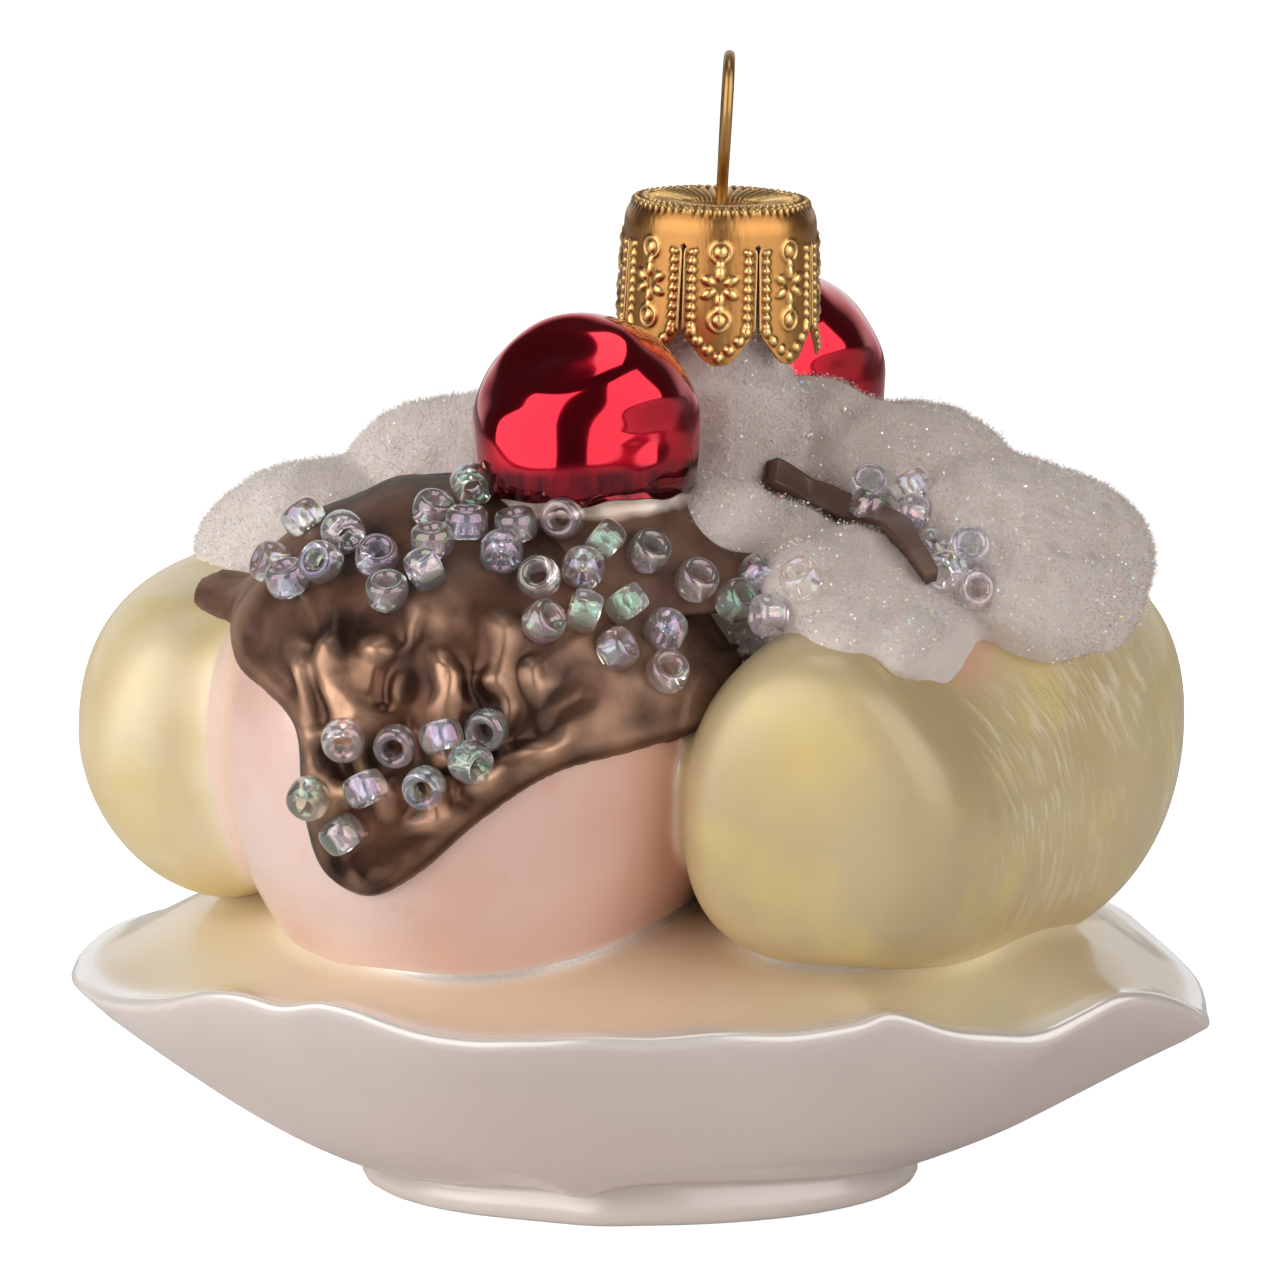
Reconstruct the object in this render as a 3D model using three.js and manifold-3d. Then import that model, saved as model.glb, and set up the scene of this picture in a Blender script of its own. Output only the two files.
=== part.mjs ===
// A mouth-blown glass hanging ornament in the form of a banana split. Dish, bananas, ice cream, sauce, cream
// and cherries are one moulded glass, with small glass beads glued on; a crimped metal cap and a wire loop sit
// on its neck. Millimetres, +Z up, the front towards -Y, origin at the middle of the foot's underside.

import * as THREE from 'three';
import { mergeVertices } from 'three/addons/utils/BufferGeometryUtils.js';
import Module from 'manifold-3d';

const wasm = await Module();
wasm.setup();

// ---- driving dimensions ----

const upward = new THREE.Vector3( 0, 0, 1 );

const foot = { halfLength: 26.8, halfWidth: 22.4, height: 2.5, bevel: 0.8 };
const dish = { halfLength: 54.4, halfWidth: 45.5, rimHeight: 22.5, rimRoll: 1.5, crown: 31, crownShare: 0.45 };

// Where the wavy rim leaves its oval: middle and half-breadth in degrees from +X, then the swing out and up.
const rimWaves = [
	{ at: - 31, breadth: 13, out: 6.5, up: - 1.2 },
	{ at: - 47, breadth: 9, out: 1.5, up: - 1.4 },
	{ at: - 63, breadth: 7, out: 0.5, up: 2.4 },
	{ at: - 90, breadth: 16, out: 0.5, up: 1.0 },
	{ at: - 124, breadth: 12, out: - 0.5, up: 2.4 },
	{ at: - 160, breadth: 12, out: 1.8, up: - 0.4 },
	{ at: 28, breadth: 14, out: - 1.5, up: 0.6 },
	{ at: 62, breadth: 10, out: 0.5, up: 2.0 },
	{ at: 116, breadth: 12, out: 0, up: 2.2 },
	{ at: 150, breadth: 14, out: 1.0, up: - 0.8 }
];

// The second banana, scoop, sauce and beads repeat the front ones, turned half round this upright line.
const turnLine = - 0.6;

const banana = {
	spine: [ [ 10.5, - 39.5, 43.5 ], [ 19, - 27, 43.5 ], [ 31, - 13, 44 ], [ 37, 2, 44.5 ], [ 36, 18, 44.5 ] ],
	halfBreadth: 15.2,
	halfHeight: 16.6,
	sectionPower: 2.4,
	endPower: 3.3
};

const scoop = { centre: [ - 15.5, - 17.5, 47 ], halfLength: 24.8, halfDepth: 23.5, above: 23.2, below: 31 };

const sauce = {
	thickness: 1.3,
	foldDepth: 0.8,
	reachBehind: 10,
	outline: [
		[ - 12, 73 ], [ - 27, 68 ], [ - 35, 61 ], [ - 41, 57 ], [ - 36, 54 ], [ - 31.5, 51 ], [ - 31, 43 ],
		[ - 29, 37 ], [ - 25, 35 ], [ - 21, 37 ], [ - 15, 42.5 ], [ - 8, 47 ], [ 0, 48.5 ], [ 5, 49.5 ],
		[ 9, 54 ], [ 11.5, 60 ], [ 7, 67 ], [ 0, 71 ]
	]
};

const cherry = { radius: 10.9, dimple: [ - 2.2, - 6, 8 ], dimpleDepth: 1.4, dimpleBreadth: 4 };
const cherryCentres = [ [ - 5, - 20, 76 ], [ 13, 18, 75 ] ];

// Whipped cream, as swirled mounds: centre, half-sizes, then how many ridges and which way they turn.
const creamMounds = [
	{ centre: [ 34, - 5, 59.5 ], halves: [ 15.5, 17, 11.8 ], ridges: 4, twist: 1.2 },
	{ centre: [ 24, 6, 64 ], halves: [ 14.5, 14, 11 ], ridges: 3, twist: - 1 },
	{ centre: [ 20, - 16.5, 54 ], halves: [ 14, 18.5, 12.5 ], ridges: 3, twist: 0.6 },
	{ centre: [ 9, - 9, 60 ], halves: [ 12, 13, 9 ], ridges: 3, twist: 0.6 },
	{ centre: [ - 30.5, 4, 60 ], halves: [ 12.5, 14, 9.8 ], ridges: 4, twist: 1.2 },
	{ centre: [ - 17, 7, 63.5 ], halves: [ 13, 14, 12 ], ridges: 3, twist: - 1 },
	{ centre: [ - 20, 15, 54 ], halves: [ 14, 17, 12 ], ridges: 3, twist: 0.6 }
];
const creamRidge = 0.7;

const neck = {
	base: [ 6.6, 0, 55 ],
	lean: 1.6,
	radius: 7.3,
	top: 93.9,
	collarRadius: 8.7,
	collarTop: 78.6,
	flare: 24
};
const mouth = { radius: 5.2, depth: 12 };

const cap = {
	top: 95,
	bottom: 79.2,
	topRadius: 7.6,
	shoulderRadius: 9.3,
	bottomRadius: 9.9,
	wall: 0.55,
	holeRadius: 2.7,
	shoulderDrop: 3.2,
	brimDrop: 1.3,
	petals: 8,
	slitTop: 91.4,
	slitWidth: 0.7,
	tipStart: 83.6,
	tipWidth: 0.5,
	beading: 0.4,
	boss: { height: 86.9, radius: 1.7, rise: 0.45 }
};

const hanger = { wire: 1.1, top: 109.2, breadth: 8.6, waistHeight: 96.5, legSpread: 1.2, legBottom: 86, tilt: 3.2 };

const bead = { radius: 2, halfLength: 1.5, hole: 0.9, holeDepth: 1, sides: 6, sink: 0.6, tumble: 0.5 };

// Beads are dropped on along a line that slopes down and back. Group by group: across, how high square to
// that line, and 1 where the hole faces outwards.
const dropSlope = 35;
const frontOnly = [ 'crest', 'crestLeft', 'lowerRow', 'strip', 'stripEnd' ];
const beadGroups = {
	leftShoulder: [ [ - 31, 43.5, 0 ], [ - 27, 38.5, 0 ], [ - 29, 36, 0 ], [ - 34, 38.5, 0 ], [ - 31.5, 35, 1 ] ],
	underCherryLeft: [ [ - 19, 40.5, 0 ], [ - 15.5, 43, 0 ], [ - 16, 38.5, 0 ], [ - 19, 36.5, 0 ] ],
	crestLeft: [ [ - 24, 35.5, 0 ], [ - 23, 31.5, 0 ], [ - 19.5, 32.5, 0 ] ],
	underCherry: [ [ - 11.5, 38.5, 1 ], [ - 7, 39.5, 0 ], [ - 3.5, 37, 0 ], [ 0.5, 37, 0 ] ],
	crest: [ [ - 13, 34.5, 0 ], [ - 9.5, 32.5, 0 ], [ - 5.5, 34, 0 ] ],
	crestRight: [
		[ - 9, 28, 1 ], [ - 5.5, 29, 0 ], [ - 2, 31, 0 ], [ 1.5, 29.5, 0 ], [ - 2.5, 26.5, 1 ], [ 2, 25.5, 0 ]
	],
	sauceEnd: [ [ 5, 35, 1 ], [ 8.5, 34, 0 ], [ 10.5, 37, 0 ], [ 12, 33, 0 ], [ 15, 34.5, 1 ] ],
	lowerDrip: [ [ - 27, 18, 0 ], [ - 30, 14.5, 0 ], [ - 27, 12, 0 ], [ - 24.5, 14, 0 ], [ - 22.5, 17.5, 1 ] ],
	lowerRow: [ [ - 18, 17.5, 0 ], [ - 13.5, 18.5, 1 ], [ - 19.5, 13.5, 1 ], [ - 15, 14.5, 0 ] ],
	strip: [ [ 22, 52.5, 0 ], [ 23, 49.5, 0 ], [ 26, 50.5, 0 ], [ 26, 47, 1 ] ],
	stripEnd: [ [ 27, 40.5, 0 ], [ 30, 41.5, 0 ], [ 27.5, 37, 0 ], [ 31, 37, 1 ] ]
};
const chance = { seed: 7, multiplier: 16807, modulus: 2147483647 };

// Facets round each form, and where there are two numbers, from end to end as well.
const facets = {
	dish: 40,
	banana: [ 18, 13 ],
	scoop: 22,
	sauce: 34,
	cream: [ 16, 10 ],
	cherry: [ 18, 12 ],
	neck: 18,
	cap: 40
};

const colours = { glass: 0xd9cdb4, cap: 0xd9a95c, wire: 0xb8904f };

// ---- helpers ----

/** A closed geometry as a solid that can be joined and cut. */
function solid( geometry ) {

	geometry.deleteAttribute( 'normal' );
	geometry.deleteAttribute( 'uv' );
	const merged = mergeVertices( geometry, 1e-4 );
	return new wasm.Manifold( new wasm.Mesh( {
		numProp: 3,
		vertProperties: Float32Array.from( merged.attributes.position.array ),
		triVerts: Uint32Array.from( merged.index.array )
	} ) );

}

function join( solids ) {

	return solids.reduce( ( whole, part ) => whole.add( part ) );

}

function toGeometry( manifold ) {

	const mesh = manifold.getMesh();
	const geometry = new THREE.BufferGeometry();
	geometry.setAttribute( 'position', new THREE.BufferAttribute( Float32Array.from( mesh.vertProperties ), 3 ) );
	geometry.setIndex( new THREE.BufferAttribute( Uint32Array.from( mesh.triVerts ), 1 ) );
	return geometry;

}

function lerp( from, to, share ) {

	return from + ( to - from ) * share;

}

/** A geometry's points, each moved by a function that changes the given vector. */
function reshape( geometry, change ) {

	const position = geometry.attributes.position;
	const point = new THREE.Vector3();
	for ( let i = 0; i < position.count; i ++ ) {

		change( point.fromBufferAttribute( position, i ) );
		position.setXYZ( i, point.x, point.y, point.z );

	}

	return geometry;

}

/** A turned shape round the Z axis, from [ radius, height ] pairs. */
function turned( profile, sides ) {

	const points = profile.map( ( [ radius, height ] ) => new THREE.Vector2( radius, height ) );
	return new THREE.LatheGeometry( points, sides ).rotateX( Math.PI / 2 );

}

function ovalRadius( halfX, halfY, azimuth ) {

	return halfX * halfY / Math.hypot( halfY * Math.cos( azimuth ), halfX * Math.sin( azimuth ) );

}

/** A smooth bump, 1 at its middle. */
function bump( distance, breadth ) {

	return Math.exp( - ( ( distance / breadth ) ** 2 ) );

}

/** The same solid turned half round, about an upright line a little left of the foot's middle. */
function turnedRound( geometry ) {

	return geometry.clone().translate( - turnLine, 0, 0 ).rotateZ( Math.PI ).translate( turnLine, 0, 0 );

}

/** Evenly spread numbers from 0 to 1, the same ones each time. */
function* draws( { seed, multiplier, modulus } ) {

	let state = seed;
	while ( true ) {

		state = state * multiplier % modulus;
		yield state / modulus;

	}

}

// ---- dish ----

/** How far out and how high the rim lies at an azimuth. */
function rimAt( azimuth ) {

	let reach = ovalRadius( dish.halfLength, dish.halfWidth, azimuth );
	let height = dish.rimHeight;
	for ( const wave of rimWaves ) {

		const apart = THREE.MathUtils.radToDeg( azimuth ) - wave.at;
		const share = bump( THREE.MathUtils.euclideanModulo( apart + 180, 360 ) - 180, wave.breadth );
		reach += wave.out * share;
		height += wave.up * share;

	}

	return { reach, height };

}

/** Two shallow cones, one up and one down, on an oval foot: drawn round, then stretched to foot and rim. */
function dishGeometry() {

	const { halfLength, rimHeight, rimRoll, crown, crownShare } = dish;
	const flare = [ 0.2, 0.4, 0.6, 0.8, 1 ].map( share => [
		lerp( foot.halfLength, halfLength - 0.6, share ),
		lerp( foot.height, rimHeight - 1.4 * rimRoll, share ** 1.3 )
	] );
	const profile = [
		[ 0, 0 ],
		[ foot.halfLength - foot.bevel, 0 ],
		[ foot.halfLength, foot.bevel ],
		[ foot.halfLength - 0.2, foot.height ],
		...flare,
		[ halfLength, rimHeight - rimRoll / 2 ],
		[ halfLength - 0.8 * rimRoll, rimHeight ],
		[ halfLength * 0.8, lerp( rimHeight, crown, 0.5 ) ],
		[ halfLength * crownShare, crown ],
		[ 0, crown ]
	];
	return reshape( turned( profile, facets.dish ), point => {

		const radius = Math.hypot( point.x, point.y );
		const azimuth = Math.atan2( point.y, point.x );
		const footRadius = ovalRadius( foot.halfLength, foot.halfWidth, azimuth );
		const rim = rimAt( azimuth );
		const outward = Math.max( 0, ( radius - foot.halfLength ) / ( halfLength - foot.halfLength ) );
		const withinFoot = radius * footRadius / foot.halfLength;
		const stretched = outward > 0 ? lerp( footRadius, rim.reach, outward ) : withinFoot;
		const onAxis = radius < 1e-6;
		point.x = onAxis ? 0 : stretched * Math.cos( azimuth );
		point.y = onAxis ? 0 : stretched * Math.sin( azimuth );
		point.z += ( rim.height - rimHeight ) * outward ** 2;

	} );

}

// ---- bananas and ice cream ----

function power( value, exponent ) {

	return Math.sign( value ) * Math.abs( value ) ** exponent;

}

/** A loaf with blunt round ends along a level curve: a sphere's rings laid out along the banana's spine. */
function bananaGeometry() {

	const { spine, halfBreadth, halfHeight, sectionPower, endPower } = banana;
	const curve = new THREE.CatmullRomCurve3( spine.map( at => new THREE.Vector3( ...at ) ) );
	return reshape( new THREE.SphereGeometry( 1, ...facets.banana ), point => {

		const station = THREE.MathUtils.clamp( ( 1 - point.y ) / 2, 0, 1 );
		const girth = ( 1 - Math.abs( 2 * station - 1 ) ** endPower ) ** ( 1 / endPower );
		const around = Math.atan2( point.z, point.x );
		const along = curve.getTangentAt( station );
		const side = new THREE.Vector3().crossVectors( upward, along ).normalize();
		const up = new THREE.Vector3().crossVectors( along, side );
		point.copy( curve.getPointAt( station ) );
		point.addScaledVector( side, halfBreadth * girth * power( Math.cos( around ), 2 / sectionPower ) );
		point.addScaledVector( up, halfHeight * girth * power( Math.sin( around ), 2 / sectionPower ) );

	} );

}

/** A ball of ice cream, longer below its middle. */
function scoopGeometry( sides ) {

	const { centre, halfLength, halfDepth, above, below } = scoop;
	const ball = new THREE.SphereGeometry( 1, sides, Math.round( sides * 0.65 ) ).rotateX( Math.PI / 2 );
	return reshape( ball, point => {

		point.z *= point.z > 0 ? above : below;
		point.x *= halfLength;
		point.y *= halfDepth;
		point.add( new THREE.Vector3( ...centre ) );

	} );

}

// ---- sauce ----

/** How far the sauce stands off the ice cream: a layer with slanting folds that fade towards the right. */
function sauceRise( x, z ) {

	const folds = Math.sin( 0.75 * x + 0.35 * z + 1.3 * Math.sin( 0.3 * z ) ) * Math.sin( 0.32 * z - 0.25 * x );
	const fade = THREE.MathUtils.smoothstep( - x, - 6, 16 );
	return sauce.thickness + sauce.foldDepth * folds * fade;

}

/** The layer of sauce over the front scoop: a grown, folded copy of the scoop cut to the sauce's outline. */
function sauceSolid() {

	const corners = sauce.outline.map( at => new THREE.Vector2( ...at ) );
	const outline = new THREE.SplineCurve( [ ...corners, corners[ 0 ] ] );
	const shape = new THREE.Shape( outline.getPoints( corners.length * 2 ).slice( 0, - 1 ) );
	const depth = 2 * scoop.halfDepth + sauce.reachBehind;
	const prism = new THREE.ExtrudeGeometry( shape, { depth, bevelEnabled: false } );
	prism.rotateX( Math.PI / 2 ).translate( 0, scoop.centre[ 1 ] + sauce.reachBehind, 0 );
	const centre = new THREE.Vector3( ...scoop.centre );
	const layer = reshape( scoopGeometry( facets.sauce ), point => {

		const outwards = point.clone().sub( centre ).normalize();
		point.addScaledVector( outwards, sauceRise( point.x, point.z ) );

	} );
	return solid( layer ).intersect( solid( prism ) );

}

// ---- cream ----

/** A mound of whipped cream with soft spiral ridges. */
function creamGeometry( { centre, halves, ridges, twist } ) {

	return reshape( new THREE.SphereGeometry( 1, ...facets.cream ).rotateX( Math.PI / 2 ), point => {

		const azimuth = Math.atan2( point.y, point.x );
		const clearOfPoles = 1 - point.z ** 4;
		const swirl = Math.sin( ridges * azimuth + 3 * twist * point.z );
		const ridge = 1 + creamRidge / halves[ 0 ] * clearOfPoles * swirl;
		point.set( point.x * halves[ 0 ], point.y * halves[ 1 ], point.z * halves[ 2 ] ).multiplyScalar( ridge );
		point.add( new THREE.Vector3( ...centre ) );

	} );

}

// ---- cherries ----

function cherryGeometry( centre ) {

	const { radius, dimple, dimpleDepth, dimpleBreadth } = cherry;
	const dent = new THREE.Vector3( ...dimple ).setLength( radius );
	return reshape( new THREE.SphereGeometry( radius, ...facets.cherry ).rotateX( Math.PI / 2 ), point => {

		const pressed = dimpleDepth * bump( point.distanceTo( dent ), dimpleBreadth );
		point.setLength( radius - pressed );
		point.add( new THREE.Vector3( ...centre ) );

	} );

}

// ---- neck, cap and hanger, drawn upright about the neck's own axis and then leaned ----

function leaned( geometry ) {

	const [ x, y, z ] = neck.base;
	return geometry.translate( 0, 0, - z ).rotateY( THREE.MathUtils.degToRad( neck.lean ) ).translate( x, y, z );

}

function neckGeometry() {

	const start = neck.base[ 2 ];
	const floor = neck.top - mouth.depth;
	const slope = [ 0, 0.18, 0.4, 0.65 ].map( share => [
		lerp( neck.flare, neck.collarRadius, 1 - ( 1 - share / 0.65 ) ** 2 ),
		lerp( start, neck.collarTop, share )
	] );
	return leaned( turned( [
		[ 0, start ],
		...slope,
		[ neck.collarRadius, neck.collarTop - 0.8 ],
		[ neck.collarRadius - 0.7, neck.collarTop ],
		[ neck.radius, neck.collarTop ],
		[ neck.radius, neck.top ],
		[ mouth.radius, neck.top ],
		[ mouth.radius, floor ],
		[ 0, floor ]
	], facets.neck ) );

}

/** The crimped metal cap: a thin bell with a hole in its top, its skirt slit into pointed petals. */
function capSolid() {

	const { top, bottom, topRadius, shoulderRadius, bottomRadius, wall, holeRadius, petals, beading, boss } = cap;
	const shoulder = top - cap.shoulderDrop;
	const bell = turned( [
		[ bottomRadius, bottom ],
		[ shoulderRadius, shoulder ],
		[ lerp( topRadius, shoulderRadius, 0.65 ), top - cap.brimDrop ],
		[ topRadius, top ],
		[ topRadius - beading, top + beading ],
		[ topRadius - 2 * beading, top ],
		[ holeRadius, top ],
		[ holeRadius, top - wall ],
		[ topRadius - wall / 2, top - wall ],
		[ shoulderRadius - wall, shoulder - wall / 2 ],
		[ bottomRadius - wall, bottom ],
		[ bottomRadius, bottom ]
	], facets.cap );
	const halfGap = cap.slitWidth / 2;
	const halfPetal = bottomRadius * Math.tan( Math.PI / petals ) - cap.tipWidth / 2;
	const gap = new THREE.Shape( [
		[ - halfPetal, bottom - 0.1 ],
		[ halfPetal, bottom - 0.1 ],
		[ halfGap, cap.tipStart ],
		[ halfGap / 2, cap.slitTop ],
		[ - halfGap / 2, cap.slitTop ],
		[ - halfGap, cap.tipStart ]
	].map( at => new THREE.Vector2( ...at ) ) );
	const outwards = new THREE.Matrix4().makeBasis(
		new THREE.Vector3( 0, 1, 0 ),
		new THREE.Vector3( 0, 0, 1 ),
		new THREE.Vector3( 1, 0, 0 )
	);
	const cutter = new THREE.ExtrudeGeometry( gap, { depth: bottomRadius, bevelEnabled: false } );
	cutter.applyMatrix4( outwards ).translate( shoulderRadius * 0.7, 0, 0 );
	const step = 2 * Math.PI / petals;
	const level = ( boss.height - bottom ) / ( shoulder - bottom );
	let whole = solid( leaned( bell ) );
	for ( let i = 0; i < petals; i ++ ) {

		whole = whole.subtract( solid( leaned( cutter.clone().rotateZ( ( i + 0.5 ) * step ) ) ) );
		const flower = new THREE.SphereGeometry( boss.radius, 6, 4 ).scale( boss.rise / boss.radius, 1, 1 );
		flower.translate( lerp( bottomRadius, shoulderRadius, level ), 0, boss.height ).rotateZ( i * step );
		whole = whole.add( solid( leaned( flower ) ) );

	}

	return whole;

}

/** A wire loop whose two legs pass through the cap's hole and spread inside the neck. */
function hangerGeometry() {

	const { wire, top, breadth, waistHeight, legSpread, legBottom } = hanger;
	const half = breadth / 2;
	const crownHeight = top - wire / 2;
	const side = [
		[ legSpread * 2, legBottom ],
		[ legSpread, waistHeight - 3 ],
		[ legSpread * 1.1, waistHeight ],
		[ half * 0.8, lerp( waistHeight, crownHeight, 0.3 ) ],
		[ half, lerp( waistHeight, crownHeight, 0.6 ) ],
		[ half * 0.72, lerp( waistHeight, crownHeight, 0.9 ) ]
	];
	const path = new THREE.CatmullRomCurve3( [
		...side.map( ( [ y, z ] ) => new THREE.Vector3( 0, - y, z ) ),
		new THREE.Vector3( 0, 0, crownHeight ),
		...side.toReversed().map( ( [ y, z ] ) => new THREE.Vector3( 0, y, z ) )
	] );
	const section = new THREE.Shape().absarc( 0, 0, wire / 2, 0, 2 * Math.PI );
	const loop = new THREE.ExtrudeGeometry( section, { extrudePath: path, steps: 36, curveSegments: 3 } );
	const tilt = THREE.MathUtils.degToRad( hanger.tilt - neck.lean );
	return leaned( loop.translate( 0, 0, - cap.top ).rotateY( tilt ).translate( 0, 0, cap.top ) );

}

// ---- beads ----

/** A short barrel-shaped bead along Z, with its hole as a pit where that end shows. */
function beadGeometry( facing ) {

	const { radius, halfLength, hole, holeDepth, sides } = bead;
	const end = facing ? [ [ hole, halfLength ], [ 0, halfLength - holeDepth ] ] : [ [ 0, halfLength ] ];
	const wall = [ [ radius, - halfLength / 2 ], [ radius, halfLength / 2 ] ];
	return turned( [ [ 0, - halfLength ], ...wall, ...end ], sides );

}

/** The beads of the front or, turned half round, of the back, dropped on the glass and turned at random. */
function beadSolids( glass, behind, random ) {

	const slope = THREE.MathUtils.degToRad( dropSlope );
	const uphill = new THREE.Vector3( 0, - Math.cos( slope ), Math.sin( slope ) );
	const turn = new THREE.Matrix4();
	if ( behind ) turn.makeRotationZ( Math.PI ).setPosition( 2 * turnLine, 0, 0 );
	const fall = uphill.clone().negate().transformDirection( turn );
	const caster = new THREE.Raycaster();
	const names = Object.keys( beadGroups ).filter( name => ! ( behind && frontOnly.includes( name ) ) );
	return names.flatMap( name => beadGroups[ name ] ).map( ( [ across, height, facing ] ) => {

		const start = new THREE.Vector3( across, height * Math.sin( slope ), height * Math.cos( slope ) );
		start.addScaledVector( uphill, dish.halfLength * 2 ).applyMatrix4( turn );
		caster.set( start, fall );
		const [ hit ] = caster.intersectObject( glass );
		const normal = hit.face.normal;
		const spin = random.next().value * 2 * Math.PI;
		const lying = new THREE.Vector3().crossVectors( normal, upward ).normalize().applyAxisAngle( normal, spin );
		const axis = facing ? normal.clone().addScaledVector( lying, bead.tumble ).normalize() : lying;
		const lift = ( facing ? bead.halfLength : bead.radius ) - bead.sink;
		const place = new THREE.Matrix4().makeRotationFromQuaternion(
			new THREE.Quaternion().setFromUnitVectors( upward, axis )
		);
		place.setPosition( hit.point.clone().addScaledVector( normal, lift ) );
		return solid( beadGeometry( facing ).applyMatrix4( place ) );

	} );

}

// ---- the whole ornament ----

function mesh( name, manifold, colour, roughness, metalness ) {

	const material = new THREE.MeshStandardMaterial( { color: colour, roughness, metalness } );
	const part = new THREE.Mesh( toGeometry( manifold ), material );
	part.name = name;
	return part;

}

function glassSolid() {

	const front = [ bananaGeometry(), scoopGeometry( facets.scoop ) ];
	const tops = [ ...creamMounds.map( creamGeometry ), ...cherryCentres.map( cherryGeometry ), neckGeometry() ];
	const sauceFront = sauceSolid();
	const sauceBack = solid( turnedRound( toGeometry( sauceFront ) ) );
	const pieces = [ dishGeometry(), ...front, ...front.map( turnedRound ), ...tops ].map( solid );
	const bare = join( [ ...pieces, sauceFront, sauceBack ] );
	const target = new THREE.Mesh( toGeometry( bare ), new THREE.MeshBasicMaterial() );
	const random = draws( chance );
	return join( [ bare, ...beadSolids( target, false, random ), ...beadSolids( target, true, random ) ] );

}

const bananaSplit = new THREE.Group();
bananaSplit.add( mesh( 'glass_body', glassSolid(), colours.glass, 0.3, 0.1 ) );
bananaSplit.add( mesh( 'cap', capSolid(), colours.cap, 0.35, 1 ) );
bananaSplit.add( mesh( 'hanger', solid( hangerGeometry() ), colours.wire, 0.3, 1 ) );

export default bananaSplit;
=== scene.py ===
import math
import bpy
import numpy as np
from mathutils import Matrix, Vector
from mathutils.bvhtree import BVHTree


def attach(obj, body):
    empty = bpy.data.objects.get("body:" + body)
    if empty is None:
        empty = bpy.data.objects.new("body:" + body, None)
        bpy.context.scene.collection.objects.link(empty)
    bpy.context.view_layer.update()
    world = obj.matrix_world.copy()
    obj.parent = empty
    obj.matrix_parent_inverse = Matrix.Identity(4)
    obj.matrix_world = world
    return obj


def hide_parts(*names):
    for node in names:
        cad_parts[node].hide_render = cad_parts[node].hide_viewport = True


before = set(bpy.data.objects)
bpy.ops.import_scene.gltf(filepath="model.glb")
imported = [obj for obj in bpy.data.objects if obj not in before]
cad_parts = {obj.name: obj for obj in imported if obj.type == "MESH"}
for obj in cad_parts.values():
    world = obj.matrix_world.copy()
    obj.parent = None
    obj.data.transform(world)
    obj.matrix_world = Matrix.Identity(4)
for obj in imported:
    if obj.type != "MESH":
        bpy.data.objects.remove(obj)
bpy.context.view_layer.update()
print("frame loaded:", ", ".join(sorted(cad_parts)))

# Pieces are modelled in millimetres and brought to metres when they are finished.
millimetre = 0.001
turnLine = -0.6  # the second banana, scoop and sauce are the first ones turned half round about this x
fullTurn = 2 * math.pi


# modelling helpers

def deselectAll():
    if bpy.context.object and bpy.context.object.mode != "OBJECT":
        leaveEdit()
    bpy.ops.object.select_all(action="DESELECT")


def pick(piece, *others):
    deselectAll()
    for each in (piece, *others):
        each.select_set(True)
    bpy.context.view_layer.objects.active = piece


def edit(piece, action="SELECT"):  # into edit mode, with all or nothing selected
    pick(piece)
    bpy.ops.object.mode_set(mode="EDIT")
    bpy.ops.mesh.select_all(action=action)


def leaveEdit():
    bpy.ops.object.mode_set(mode="OBJECT")


def added(primitive, **settings):  # with nothing else selected
    deselectAll()
    primitive(**settings)
    return bpy.context.object


def linked(name, data):
    piece = bpy.data.objects.new(name, data)
    bpy.context.collection.objects.link(piece)
    return piece


def applyModifier(piece, kind, **settings):
    pick(piece)
    modifier = piece.modifiers.new(kind.lower(), kind)
    for key, value in settings.items():
        setattr(modifier, key, value)
    bpy.ops.object.modifier_apply(modifier=modifier.name)


def getRows(items, key="co"):
    flat = np.empty(len(items) * 3, np.float32)
    items.foreach_get(key, flat)
    return flat.reshape(-1, 3).astype(float)


def getPoints(piece):
    return getRows(piece.data.vertices)


def setPoints(piece, points):
    piece.data.vertices.foreach_set("co", np.asarray(points, np.float32).ravel())
    piece.data.update()


def setAttributes(piece, **rows):  # a number for each point, which the finishes read by name
    for name, values in rows.items():
        attribute = piece.data.attributes.new(name, "FLOAT", "POINT")
        attribute.data.foreach_set("value", np.asarray(values, np.float32))


def tidyMesh(piece, gap=0.0005):  # seams and poles are closed, faces point outwards
    edit(piece)
    bpy.ops.mesh.remove_doubles(threshold=gap)
    bpy.ops.mesh.normals_make_consistent(inside=False)
    leaveEdit()


def applyPlace(piece):
    pick(piece)
    bpy.ops.object.transform_apply(location=True, rotation=True, scale=True)


def movedBy(piece, matrix):
    piece.matrix_world = matrix @ piece.matrix_world
    applyPlace(piece)
    return piece


def turnAbout(place, angle, axis):
    about = Matrix.Translation(place)
    return about @ Matrix.Rotation(angle, 4, axis) @ about.inverted()


def copyPiece(piece):
    pick(piece)
    bpy.ops.object.duplicate()
    return bpy.context.object


def turnedHalf(piece):
    return movedBy(copyPiece(piece), turnAbout((turnLine, 0, 0), math.pi, "Z"))


def joinPieces(pieces):
    pick(*pieces)
    bpy.ops.object.join()
    return bpy.context.object


def deleteVertices(piece, unwanted):  # by a row of true and false
    edit(piece, "DESELECT")
    bpy.ops.mesh.select_mode(type="VERT")
    leaveEdit()
    piece.data.vertices.foreach_set("select", np.asarray(unwanted, bool))
    bpy.ops.object.mode_set(mode="EDIT")
    bpy.ops.mesh.delete(type="VERT")
    leaveEdit()


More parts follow.
